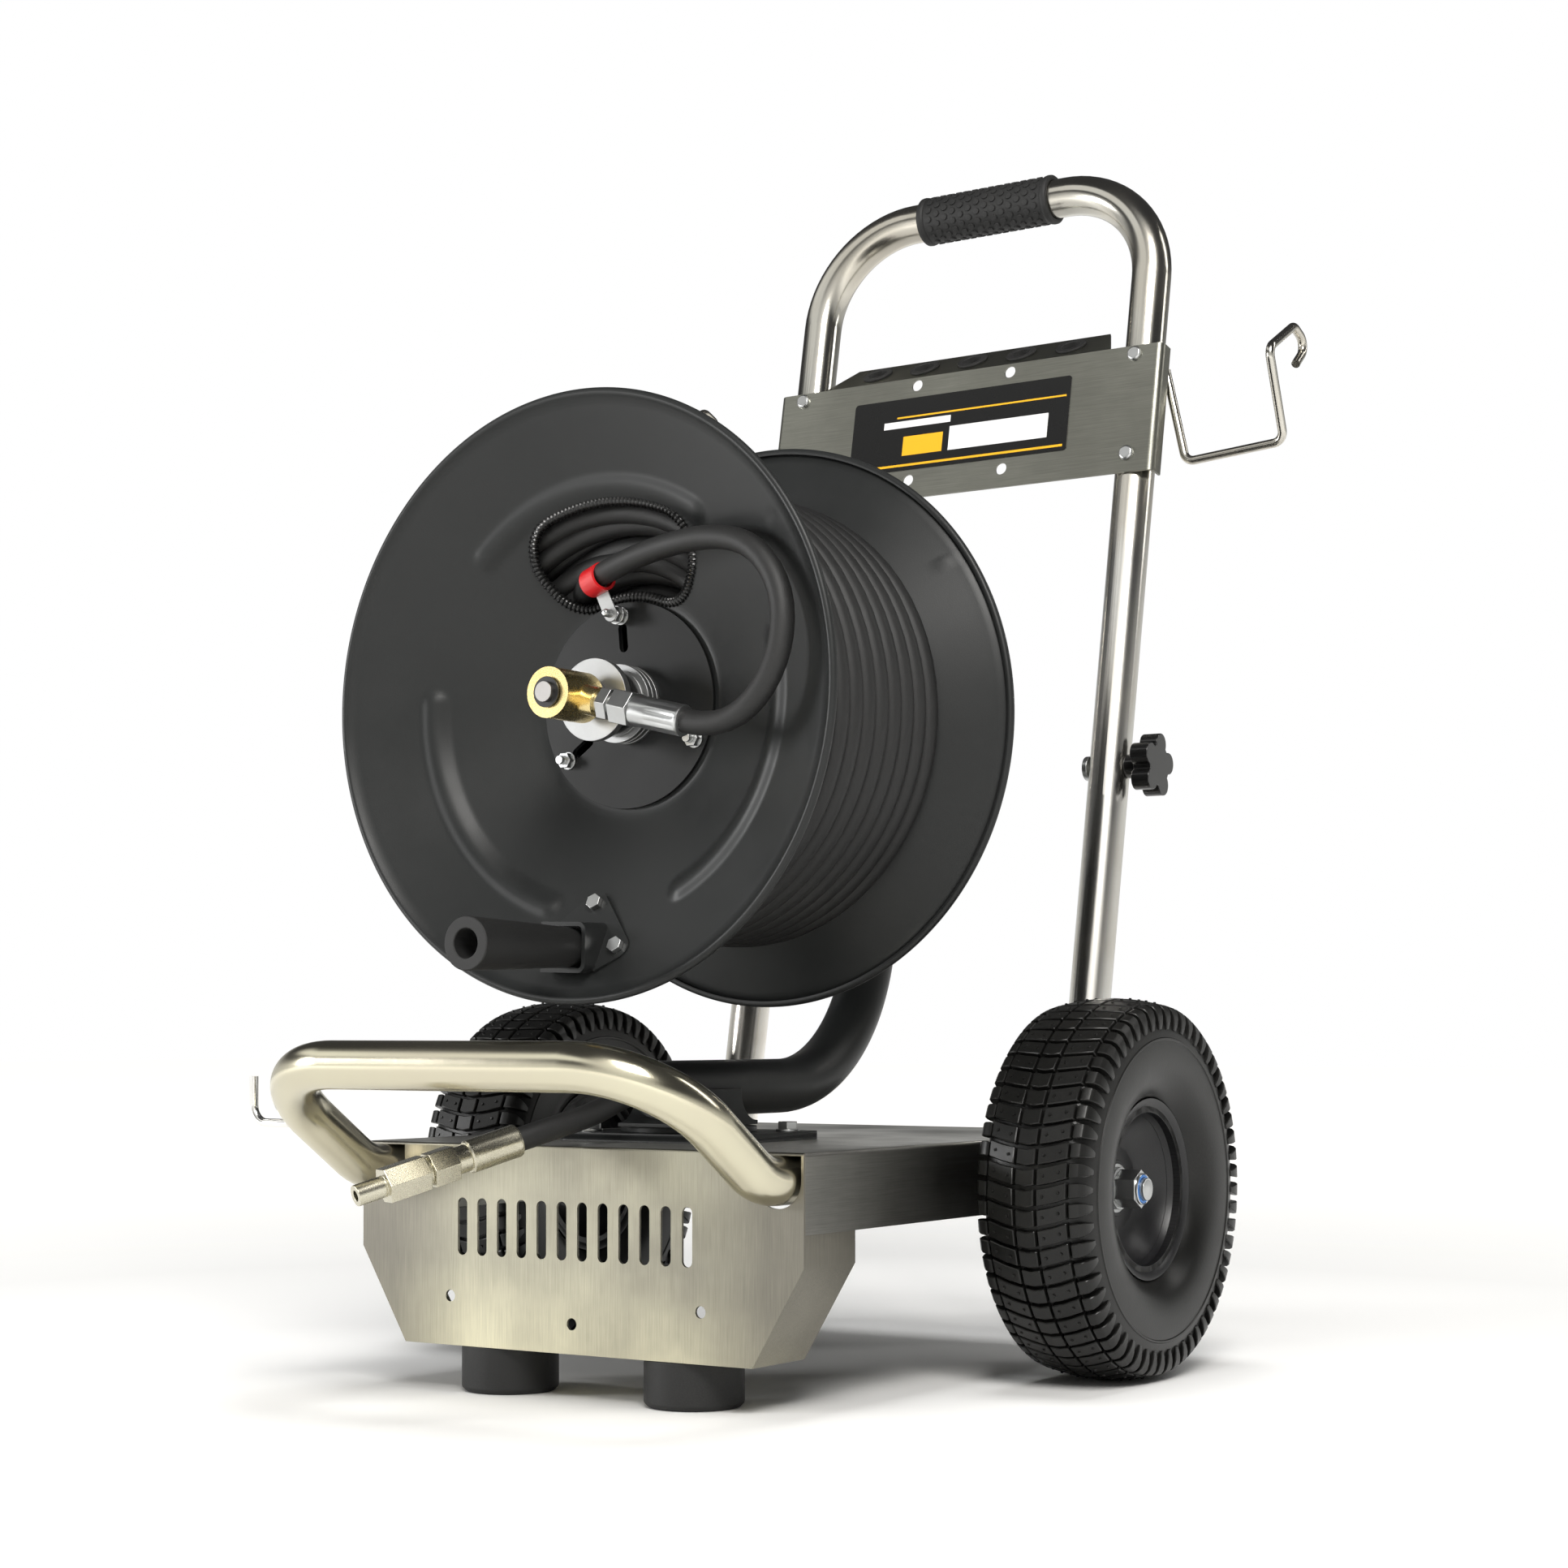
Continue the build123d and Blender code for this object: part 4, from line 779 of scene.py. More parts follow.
    @staticmethod
    def finish(piece: Piece, finish: Finish, body: Body, *nodes: str) -> Piece:
        """Give a piece its finish and its place on the cart.

        Args:
            piece: the piece.
            finish: its finish.
            body: what it moves with.
            nodes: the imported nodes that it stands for.

        Returns:
            The piece.
        """
        piece.data.materials.clear()
        piece.data.materials.append(finish.material())
        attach(piece, body.value)
        if nodes:
            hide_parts(*nodes)
        log.info("made %s", piece.name)
        return piece


@dataclass
class Dressed:
    """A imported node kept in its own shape, with its edges rounded and its finish on.

    Attributes:
        node: the node's name.
        finish: its finish.
        edge: how wide its edges are rounded, in millimetres.
        body: what it moves with.
    """

    node: str
    finish: Finish
    edge: float = 0.0
    body: Body = Body.CHASSIS

    def build(self) -> Piece:
        """Make the dressed piece."""
        piece = Bench.copy_node(self.node, f"{self.node}_dressed")
        Bench.soften(piece, self.edge)
        return Bench.finish(piece, self.finish, self.body, self.node)


# ---------------------------------------------------------------- hoses


@dataclass
class ReelHose:
    """The long hose: out of the swivel, through the flange and round the drum in layers.

    Each layer has one more turn than the one below. The turns lie between the flanges, whose cone has
    side_depth at side_radius and comes forward by side_slope. The hose runs nearer the axis than the points
    that steer it, by the factor bow.
    """

    radius: float = 8.0
    drum_radius: float = 70.0
    layers: int = 6
    layer_step: float = 15.4
    first_turns: int = 6
    turn_points: int = 16
    climb_points: int = 4
    start_angle: float = 150.0
    bow: float = 0.981
    side_depth: float = 76.9
    side_radius: float = 75.0
    side_slope: float = 0.5081
    port_angle: float = -13.5
    port_depth: float = -4.0
    port_reach: float = 97.0
    length: float = 39.6

    def loop(self) -> list[Vector]:
        """Points from the swivel's fitting round the loop and in through the flange."""
        port = (self.port_reach, self.port_reach + 26.0)
        out = [on_reel(*polar(reach, self.port_angle), self.port_depth) for reach in port]
        bend = (
            (152, -13, -6), (170, 19, -5), (168, 57, -1), (145, 88, 3), (110, 99, 9), (66, 99, 20),
            (24, 94, 31), (-12, 86, 42), (-31, 88, 60), (-48, 79, 74), (-63, 60, 79),
        )
        return out + [on_reel(*point) for point in bend]

    def wound(self) -> list[Vector]:
        """Points of all the turns, laid side by side from flange to flange and back."""
        points = []
        angle = self.start_angle
        for layer in range(self.layers):
            turns = self.first_turns + layer
            radius = self.drum_radius + self.radius + layer * self.layer_step
            gap = self.side_depth - (radius - self.side_radius) * self.side_slope
            pitch = (REEL_DEPTH - 2 * gap) / (turns - 1)
            for turn in range(turns):
                last = turn == turns - 1
                for step in range(self.turn_points):
                    shift = max(0, step - self.turn_points + self.climb_points + 1) / (self.climb_points + 1)
                    depth = gap + pitch * (turn + (0 if last else shift))
                    reach = radius + (self.layer_step * shift if last else 0)
                    if layer % 2:
                        depth = REEL_DEPTH - depth
                    points.append(on_reel(*polar(reach / self.bow, angle), depth))
                    angle += 360.0 / self.turn_points
        return points[:-self.climb_points]

    def tail(self) -> list[Vector]:
        """Points from the last turn up to the fitting that lies on it, as angle, distance and depth."""
        rise = (
            (60, 158, 36), (82, 158, 37), (104, 159, 38), (122, 162, 40), (140, 169, 43), (157, 177, 45),
            (171, 184, 45), (183, 184, 45), (190, 178.7, 45),
        )
        return [on_reel(*polar(reach, angle), depth) for angle, reach, depth in rise]

    def build(self, fittings: Iterable[Piece]) -> None:
        route = self.loop() + self.wound() + self.tail()
        hose = Bench.tube("reel_hose", route, self.radius, 4, 4)
        Bench.finish(hose, HOSE, Body.REEL, "jumper_hose", "wound_hose")
        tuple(route[0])


@dataclass
class LeaderHose:
    """The short hose out of the arm's mouth, with the fittings on its end."""

    radius: float = 8.0
    end: Triple = (-8.0, -48.0, 175.5)
    aim: Triple = (-0.423, -0.86, -0.28)
    length: float = 0.155

    def build(self, fittings: Iterable[Piece]) -> None:
        aim = Vector(self.aim).normalized()
        tip = Vector(self.end)
        steer = ((0, 97, 206), (0, 70, 206), (3, 21, 191), tip - aim * 30, tip + aim * 4)
        route = [at(*point) for point in steer]
        hose = Bench.tube("leader_hose_cover", route, self.radius, 6, 12)
        Bench.finish(hose, HOSE, Body.CHASSIS, "leader_hose")


# ---------------------------------------------------------------- reel


def ring_stops(path: Sequence[Vector], step: float) -> list[tuple[Vector, Vector]]:
    """Walk round a closed path and stop at even steps.

    Args:
        path: the path's corners.
        step: the distance between two stops.

    Returns:
        Each stop's place and the direction of the path there.
    """
    stops = []
    left = 0.0
    for start, end in zip(path, [*path[1:], path[0]]):
        run = (end - start).length
        while left < run:
            stops.append((start.lerp(end, left / run), (end - start).normalized()))
            left += step
        left -= run
    return stops


@dataclass
class Flange:
    """Pressed side plate of the reel: flat middle, cone, three pressed ribs and a rolled rim.

    Distances are from the reel's axis, depths from its front rim and angles in degrees. A rib reaches
    rib_reach degrees to both sides of its angle. The rings of corners on the cone are given by their first
    distance, step and number, the dimple by its distance and angle and by half its height and width, and the
    ribs of the edging by their spacing, ring radius and thickness.
    """

    bore: float = 26.0
    flat_radius: float = 75.0
    flat_depth: float = 65.5
    cone_radius: float = 198.0
    rings: tuple = ((79.0, 4.8, 11), (130.0, 1.4, 21), (162.0, 4.0, 9))
    bead: float = 3.0
    bead_gap: float = 5.0
    sheet: float = 1.6
    steps: int = 288
    rib_radius: float = 144.0
    rib_half: float = 10.5
    rib_rise: float = 3.2
    rib_angles: Triple = (95.0, 215.0, 335.0)
    rib_reach: float = 38.0
    dimple_place: Corner = (187.0, 35.0)
    dimple_size: Corner = (9.0, 4.0)
    dimple_depth: float = 1.3
    kidney_inner: float = 75.0
    kidney_outer: float = 136.0
    kidney_start: float = 54.0
    kidney_end: float = 125.0
    kidney_corner: float = 27.0
    slot_reach: float = 47.0
    slot_half: float = 6.5
    slot_radius: float = 3.7
    edging: float = 2.9
    edging_ribs: Triple = (3.2, 3.1, 0.9)

    def cone_depth(self, reach: float) -> float:
        """Depth of the cone's front face at a distance from the axis."""
        slope = (self.flat_depth - self.bead) / (self.cone_radius - self.flat_radius)
        return self.flat_depth - (reach - self.flat_radius) * slope

    def section(self) -> list[Corner]:
        """The plate's front face, as distance from the axis and depth."""
        flat = [(reach, self.flat_depth) for reach in (self.bore, 44.0, 60.0, 70.0)]
        bend = [(self.flat_radius + out, self.flat_depth - fall) for out, fall in ((-2.0, 0.1), (1.0, 0.8))]
        reaches = [first + step * ring for first, step, count in self.rings for ring in range(count)]
        cone = [(reach, self.cone_depth(reach)) for reach in reaches]
        rolled = arc((self.cone_radius + self.bead_gap, self.bead), self.bead, -165.0, 121.0, 11)
        return flat + bend + cone + rolled

    def press(self, reach: float, angle: float) -> float:
        """How far the plate is pressed forward at a distance from the axis and an angle."""
        rise = 0.0
        for middle in self.rib_angles:
            beyond = max(0.0, abs((angle - middle + 180.0) % 360.0 - 180.0) - self.rib_reach)
            away = math.hypot(reach - self.rib_radius, math.radians(beyond) * self.rib_radius)
            if away < self.rib_half:
                rise += self.rib_rise * swell(away / self.rib_half) ** 0.8
        middle_reach, middle = self.dimple_place
        high, wide = self.dimple_size
        aside = math.radians((angle - middle + 180.0) % 360.0 - 180.0) * reach
        away = math.hypot((reach - middle_reach) / high, aside / wide)
        if away < 1.0:
            rise -= self.dimple_depth * swell(away)
        return rise

    def kidney(self) -> list[Corner]:
        """Outline of the opening that the hose comes through, from the reel's axis."""
        corner, first, last = self.kidney_corner, self.kidney_start, self.kidney_end
        far, near = self.kidney_outer - corner, self.kidney_inner + corner
        out = math.degrees(math.asin(corner / far))
        back = math.degrees(math.asin(corner / near))
        axis = (0.0, 0.0)
        return [
            *arc(polar(far, first + out), corner, first - 90, first + out, 12),
            *arc(axis, self.kidney_outer, first + out, last - out, 12)[1:-1],
            *arc(polar(far, last - out), corner, last - out, last + 90, 12),
            *arc(polar(near, last - back), corner, last + 90, last - back + 180, 12),
            *arc(axis, self.kidney_inner, last - back, first + back, 12)[1:-1],
            *arc(polar(near, first + back), corner, first + back + 180, first + 270, 12),
        ]

    def slot(self, angle: float) -> list[Corner]:
        """Outline of the slot behind the hub plate's slot at an angle, from the reel's axis."""
        outer = polar(self.slot_reach + self.slot_half, angle)
        inner = polar(self.slot_reach - self.slot_half, angle)
        return [
            *arc(outer, self.slot_radius, angle - 90, angle + 90, 6),
            *arc(inner, self.slot_radius, angle + 90, angle + 270, 6),
        ]

    def plate(self, name: str, front: bool) -> Piece:
        """Press one plate.

        Args:
            name: the new piece's name.
            front: whether it is the front plate, with the opening in it.

        Returns:
            The plate.
        """
        centre = on_reel(0, 0, 0)
        piece = Bench.lathe(name, self.section(), centre, BACK, self.steps, closed=False)
        for corner in piece.data.vertices:
            place = corner.co - centre
            reach = math.hypot(place.x, place.z) / MM
            if self.flat_radius < reach < self.cone_radius:
                corner.co.y -= self.press(reach, math.degrees(math.atan2(place.z, place.x))) * MM
        middle = (self.flat_radius + self.cone_radius) / 2 * MM
        cone = min(piece.data.polygons, key=lambda face: abs((face.center - centre).xz.length - middle))
        if cone.normal.y > 0:
            Bench.flip(piece)
        Bench.modify(piece, "SOLIDIFY", thickness=self.sheet * MM, offset=-1.0)
        if front:
            Bench.cut(piece, self.kidney(), middle=40.0, half=40.0)
            for angle in self.rib_angles:
                Bench.cut(piece, self.slot(angle), middle=66.0, half=6.0)
        else:
            for corner in piece.data.vertices:
                corner.co.y = 2 * at(0, REEL_DEPTH / 2, 0).y - corner.co.y
            Bench.flip(piece)
        return Bench.smooth(piece, 40)

    def trim(self) -> Piece:
        """Lay the ribbed rubber edging round the opening."""
        path = [on_reel(x, z, self.cone_depth(math.hypot(x, z)) + self.sheet / 2) for x, z in self.kidney()]
        core = Bench.tube("edging core", path, self.edging, 4)
        Bench.pick(core)
        bpy.ops.object.convert(target="MESH")
        core = bpy.context.object
        Bench.clear()
        step, ring, thick = (size * MM for size in self.edging_ribs)
        bpy.ops.mesh.primitive_torus_add(
            major_radius=ring, minor_radius=thick, major_segments=12, minor_segments=4
        )
        places = [facing(place, along, "Y") for place, along in ring_stops(path, step)]
        ribs = Bench.scatter("edging ribs", bpy.context.object, places)
        return Bench.smooth(Bench.close(Bench.join("edging", [core, ribs])), 60)

    def build(self) -> None:
        """Make both plates and the edging."""
        Bench.finish(self.plate("front_plate", True), POWDER, Body.REEL, "flange_front")
        Bench.finish(self.plate("rear_plate", False), POWDER, Body.REEL, "flange_rear")
        Bench.finish(self.trim(), EDGING, Body.REEL, "edge_trim")


# ---------------------------------------------------------------- wheels


@dataclass
class Tyre:
    """Pneumatic tyre with chevron blocks, nubs and shoulder lugs.

    Distances across are from the tyre's middle, and distances around run along its tread. A block's top and
    foot are so much wider than its outline, and its root goes down into the carcass. A nub's top and foot are
    given by their radius and how far they stand out of the tread.
    """

    wheel_x: float = 244.4
    radius: float = 135.0
    shoulder_radius: float = 130.0
    shoulder: float = 36.0
    rows: int = 60
    tread_depth: float = 4.2
    middle_block: tuple = ((-7.2, -5.6), (0, -6.8), (7.2, -5.6), (7.2, 5.9), (0, 4.7), (-7.2, 5.9))
    side_block: tuple = ((8.6, -6.0), (19, -3.8), (30.0, -0.4), (30.0, 11.6), (19, 8.2), (8.6, 6.0))
    block_top: float = 0.955
    block_foot: float = 1.02
    block_root: float = 1.5
    nubs: tuple = ((13.5, 1.0), (24.5, 4.0))
    nub_top: Corner = (1.0, 0.7)
    nub_foot: Corner = (1.5, -1.0)
    lug_outline: tuple = (
        (130.7, 31.0), (130.9, 33.2), (129.6, 37.4), (126.6, 40.0), (122.0, 41.3),
        (117.0, 41.5), (112.5, 40.9), (113.0, 39.0), (119.0, 36.0), (124.0, 31.0),
    )
    lug_width: float = 5.0
    lug_top: float = 128.0
    lug_taper: float = 0.2
    lug_lean: float = 5.2
    lug_sweep: float = 0.10

    def skin(self, across: float) -> float:
        """Distance of the tread's top from the axle, at a distance from the tyre's middle."""
        return self.radius - (self.radius - self.shoulder_radius) * (across / self.shoulder) ** 2

    def point(self, across: float, around: float, reach: float) -> Vector:
        """Point of the tyre, with its distance round the front from the axle's height and from the axle."""
        forward, up = polar(reach, math.degrees(around / self.radius))
        return at(self.wheel_x + across, AXLE_Y - forward, AXLE_Z + up)

    def carcass(self) -> Piece:
        """Turn the body of the tyre, without its tread."""
        outer = [
            (64.2, 27.1), (67.0, 31.2), (72.0, 35.6), (78.0, 38.9), (85.0, 40.7), (92.0, 41.3),
            (98.0, 41.5), (103.0, 41.4), (105.0, 41.3), (105.6, 41.9), (106.8, 41.9), (107.4, 41.1),
            (111.0, 40.5), (116.0, 39.2), (120.0, 37.2), (123.5, 34.6), (125.8, 31.8),
        ]
        inner = [
            (54.4, 27.1), (54.4, 15.5), (66.0, 28.0), (82.0, 33.0), (97.0, 33.5), (112.0, 28.0), (120.0, 16.0)
        ]
        half = outer + [(self.skin(across) - self.tread_depth, across) for across in (28.0, 20.0, 10.0, 0.0)]
        section = half + [(reach, -across) for reach, across in half[-2::-1] + inner]
        section += [(123.0, 0.0), *reversed(inner)]
        return Bench.lathe("tyre_body", section, at(self.wheel_x, AXLE_Y, AXLE_Z), RIGHT, 3 * self.rows)

    def block(self, outline: Sequence[Corner]) -> Piece:
        """Raise one tread block over its outline, a little narrower at its top."""
        middle = [sum(values) / len(outline) for values in zip(*outline)]

        def place(corner: Corner, end: int) -> Vector:
            """Put a corner on the tread or under it."""
            wide, sunk = self.block_foot, self.tread_depth + self.block_root
            if end > 0:
                wide, sunk = self.block_top, 0.0
            across, around = (mid + (value - mid) * wide for value, mid in zip(corner, middle))
            return self.point(across, around, self.skin(across) - sunk)

        return Bench.prism("tread_block", outline, place)

    def lug(self, side: int) -> Piece:
        """Form one shoulder lug that runs down on to the sidewall."""

        def place(corner: Corner, end: int) -> Vector:
            """Put a corner on one flank of the lug."""
            reach, across = corner
            width = self.lug_width - self.lug_taper * max(0.0, self.lug_top - reach)
            lean = self.lug_lean + self.lug_sweep * (across - self.lug_outline[0][1])
            return self.point(side * across, lean + end * width * self.radius / reach, reach)

        return Bench.prism("shoulder_lug", self.lug_outline, place)

    def nub(self, across: float, around: float) -> Piece:
        """Set one small nub on a block."""

        def place(corner: Corner, end: int) -> Vector:
            """Put a corner on the nub's top or foot."""
            wide, rise = self.nub_top if end > 0 else self.nub_foot
            return self.point(across + corner[0] * wide, around + corner[1] * wide, self.skin(across) + rise)

        return Bench.prism("tread_nub", regular(6, 1.0), place)

    def tread(self) -> Piece:
        """Model one row of the tread and repeat it round the tyre."""
        pieces = [self.block(self.middle_block)]
        for side in (-1, 1):
            pieces.append(self.block([(side * across, around) for across, around in self.side_block]))
            pieces.append(self.lug(side))
        row = Bench.soften(Bench.join("tread_row", pieces), 0.6, 30.0, 1)
        nubs = [self.nub(side * across, around) for side in (-1, 1) for across, around in self.nubs]
        row = Bench.join("tread_row", [row, *nubs])
        return Bench.repeat_round(row, self.rows, at(self.wheel_x, AXLE_Y, AXLE_Z), RIGHT)

    def build(self) -> None:
        """Make the right tyre and its twin."""
        body = Bench.smooth(self.carcass(), 35)
        right = Bench.join("treaded_tyre_right", [body, self.tread()])
        left = Bench.twin(right)
        Bench.finish(right, TYRE, Body.WHEEL_RIGHT, "tyre_right")
        Bench.finish(left, TYRE, Body.WHEEL_LEFT, "tyre_left")


# ---------------------------------------------------------------- fittings

CENTRE = 0.01


@dataclass
class LockNutInsert:
    """Nylon ring in the mouth of a lock nut, the collar round it and the axle's thread.

    Attributes:
        nut_end: distance of the nut's mouth from the cart's middle.
        bore: radius of the axle.
        pitch: pitch of its thread.
    """

    nut_end: float
    bore: float = 8.0
    pitch: float = 1.4

    def build(self) -> None:
        """Make the ring, collar and thread on both sides."""
        bore = self.bore
        ring = [(bore - 0.2, -1.0), (bore - 0.2, 1.2), (8.6, 1.8), (9.8, 1.8), (10.2, 1.2), (10.2, -1.0)]
        collar = [(10.0, -2.0), (10.0, 1.4), (10.6, 2.0), (11.2, 1.4), (11.4, -2.0)]
        thread = [(bore - 1.2, 0.5)]
        for turn in range(3):
            thread += [(bore - 0.2, 1.4 + self.pitch * turn), (bore - 1.0, 2.1 + self.pitch * turn)]
        thread += [(bore - 2.2, 5.2), (CENTRE, 5.25), (CENTRE, 0.5)]
        sections = {"nylon_ring_right": ring, "nut_collar_right": collar, "axle_thread_right": thread}
        mouth = at(self.nut_end, AXLE_Y, AXLE_Z)
        pieces = [Bench.lathe(name, section, mouth, RIGHT, 40) for name, section in sections.items()]
        for piece, finish in zip(pieces, (NYLON, ZINC, ZINC)):
            Bench.smooth(piece, 30)
            other = Bench.twin(piece)
            Bench.finish(piece, finish, Body.CHASSIS)
            Bench.finish(other, finish, Body.CHASSIS)


@dataclass
class Ferrule:
    """Steel sleeve pressed on a hose's end, with flutes where the press gripped it.

    Attributes:
        node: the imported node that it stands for.
        start: where it begins, on the hose, in the cart's millimetres.
        aim: the direction from the hose to the fitting.
        radius: its outside radius.
        length: how long the sleeve is.
        neck: radius and length of the neck beyond the sleeve, or None.
        body: what it moves with.
        metal: its finish.
        flutes: how many flutes go round it.
        flute_depth: how deep they are.
        flute_start: how far from the sleeve's start they begin.
        flute_end: how far along the sleeve they end, as a share of its length.
    """

    node: str
    start: Triple
    aim: Triple
    radius: float
    length: float
    neck: Optional[Corner] = None
    body: Body = Body.CHASSIS
    metal: Finish = ZINC
    flutes: int = 10
    flute_depth: float = 0.75
    flute_start: float = 3.0
    flute_end: float = 0.65

    def build(self) -> Piece:
        """Turn the sleeve and press its flutes."""
        reach, end = self.radius, self.length
        rings = (1.2, 2.0, 4.0, end * 0.35, end * 0.62, end * 0.68, end - 1.0)
        section = [(CENTRE, 0.0), (reach - 1.2, 0.0), (reach - 0.2, 0.5)]
        section += [(reach, along) for along in rings]
        section.append((reach - 1.0, end))
        if self.neck is None:
            section.append((CENTRE, end))
        else:
            wide, more = self.neck
            section += [(wide, end + 0.2), (wide, end + more), (CENTRE, end + more)]
        centre = at(*self.start)
        axis = Vector(self.aim).normalized()
        piece = Bench.lathe(f"{self.node}_sleeve", section, centre, axis, 12 * self.flutes)
        side = axis.orthogonal().normalized()
        other = axis.cross(side)
        for corner in piece.data.vertices:
            place = corner.co - centre
            along = place.dot(axis) / MM
            flat = place - axis * place.dot(axis)
            if self.flute_start < along < end * self.flute_end and flat.length > reach / 2 * MM:
                turned = math.atan2(flat.dot(other), flat.dot(side))
                press = self.flute_depth * (1 - abs(math.cos(turned * self.flutes / 2))) ** 0.7
                corner.co -= flat.normalized() * press * MM
        Bench.smooth(piece, 28)
        return Bench.finish(piece, self.metal, self.body, self.node)


@dataclass
class ClipBolt:
    """Long hub bolt with a second nut, and the tail of the hose clip that it holds.

    Its places are from the reel's axis. The nut is given by the radius of its corners, half its thickness and
    its place along the bolt, and the tail by half its width and thickness. It leans forward above a bend.
    """

    bolt: Corner = (-5.4, 61.8)
    ring: Corner = (-10.6, 77.5)
    radius: float = 3.0
    pitch: float = 1.6
    turns: int = 11
    nut: Triple = (5.8, 2.4, 4.9)
    tail: float = 5.5
    tail_thickness: float = 0.5
    tail_depth: float = 49.9
    tail_bend: float = 62.0
    tail_lean: float = 0.25

    def build(self) -> None:
        """Make the thread, washer, nut and tail."""
        centre = on_reel(*self.bolt, 58.0)
        thread = [(CENTRE, -3.0), (self.radius, -3.0)]
        for turn in range(self.turns):
            thread += [(self.radius, -2.0 + self.pitch * turn), (2.45, -1.2 + self.pitch * turn)]
        thread += [(2.0, 15.8), (CENTRE, 15.9)]
        bolt = Bench.lathe("clip_bolt", thread, centre, FRONT, 20)
        disc = [(3.1, 1.0), (6.4, 1.0), (6.6, 1.3), (6.4, 2.2), (3.1, 2.2)]
        washer = Bench.lathe("clip_washer", disc, centre, FRONT, 32)
        wide, half, middle = self.nut
        nut = Bench.prism(
            "clip_nut", regular(6, wide),
            lambda corner, end: centre + Vector((corner[0], -(middle + half * end), corner[1])) * MM,
        )
        strip = arc(self.bolt, self.tail, 198.0, 378.0, 8) + arc(self.ring, self.tail, 18.0, 198.0, 8)

        def bend(corner: Corner, end: int) -> Vector:
            """Put a corner on the front or back of the tail."""
            lean = self.tail_lean * max(0.0, corner[1] - self.tail_bend)
            return on_reel(*corner, self.tail_depth - lean - self.tail_thickness * end)

        tail = Bench.prism("clip_tail", strip, bend)
        for piece in (bolt, washer, nut, tail):
            Bench.soften(piece, 0.3, 30.0, 1)
            Bench.finish(piece, MATT_ZINC if piece is tail else ZINC, Body.REEL)


@dataclass
class GripBumps:
    """Pads moulded round the handle's rubber grip, with a thick lip at each end."""

    radius: float = 18.5
    pad: float = 2.9
    pad_height: float = 2.6
    around: int = 15
    along: int = 14
    margin: float = 8.0

    def build(self) -> None:
        """Set the pads round the grip, and a lip on each end."""
        low, high = (Vector(corner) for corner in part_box("handle_grip"))
        centre = (low + high) / 2
        half = (high.x - low.x) / 2
        Bench.clear()
        bpy.ops.mesh.primitive_cylinder_add(
            vertices=8, radius=self.pad * MM, depth=self.pad_height * MM, end_fill_type="NGON"
        )
        pad = Bench.soften(bpy.context.object, 0.7, 30.0, 2)
        places = []
        pitch = 2 * (half - self.margin * MM) / self.along
        for row in range(self.along):
            for step in range(self.around):
                turned = 2 * math.pi * (step + 0.5 * (row % 2)) / self.around
                out = Vector((0, math.cos(turned), math.sin(turned)))
                spot = centre + out * self.radius * MM
                spot.x = centre.x - half + self.margin * MM + pitch * (row + 0.5)
                places.append(facing(spot, out, "X"))
        Bench.finish(Bench.scatter("grip_pads", pad, places), RUBBER, Body.CHASSIS)
        section = [(18.0, 0.0), (19.2, 0.3), (20.0, 1.2), (20.2, 3.4), (19.8, 5.4), (18.8, 6.4), (18.0, 6.6)]
        for name, side in (("grip_lip_left", -1), ("grip_lip_right", 1)):
            lip = Bench.lathe(name, section, centre + RIGHT * side * half, RIGHT * -side, 48)
            Bench.finish(Bench.smooth(lip, 40), RUBBER, Body.CHASSIS)


# ---------------------------------------------------------------- studio

WHITE = (1.0, 1.0, 1.0)
WARM_WHITE = (1.0, 0.98, 0.95)
SUN_WHITE = (1.0, 0.99, 0.96)


@dataclass
class SoftBox:
    """One soft light.

    Attributes:
        name: its name.
        place: where it hangs.
        target: the point it faces.
        size: its width and height.
        power: its power in watts.
        colour: its colour.
        mirrored: whether the metal mirrors it.
    """

    name: str
    place: Triple
    target: Triple
    size: tuple[float, float]
    power: float
    colour: Triple = WHITE
    mirrored: bool = True

    def hang(self) -> None:
        """Hang the light."""
        lamp = bpy.data.lights.new(self.name, "AREA")
        lamp.shape = "RECTANGLE"
        lamp.size, lamp.size_y = self.size
        lamp.energy = self.power
        lamp.color = self.colour
        holder = Bench.hang(self.name, lamp)
        holder.location = self.place
        holder.rotation_euler = (Vector(self.target) - Vector(self.place)).to_track_quat("-Z", "Y").to_euler()
        holder.visible_glossy = self.mirrored


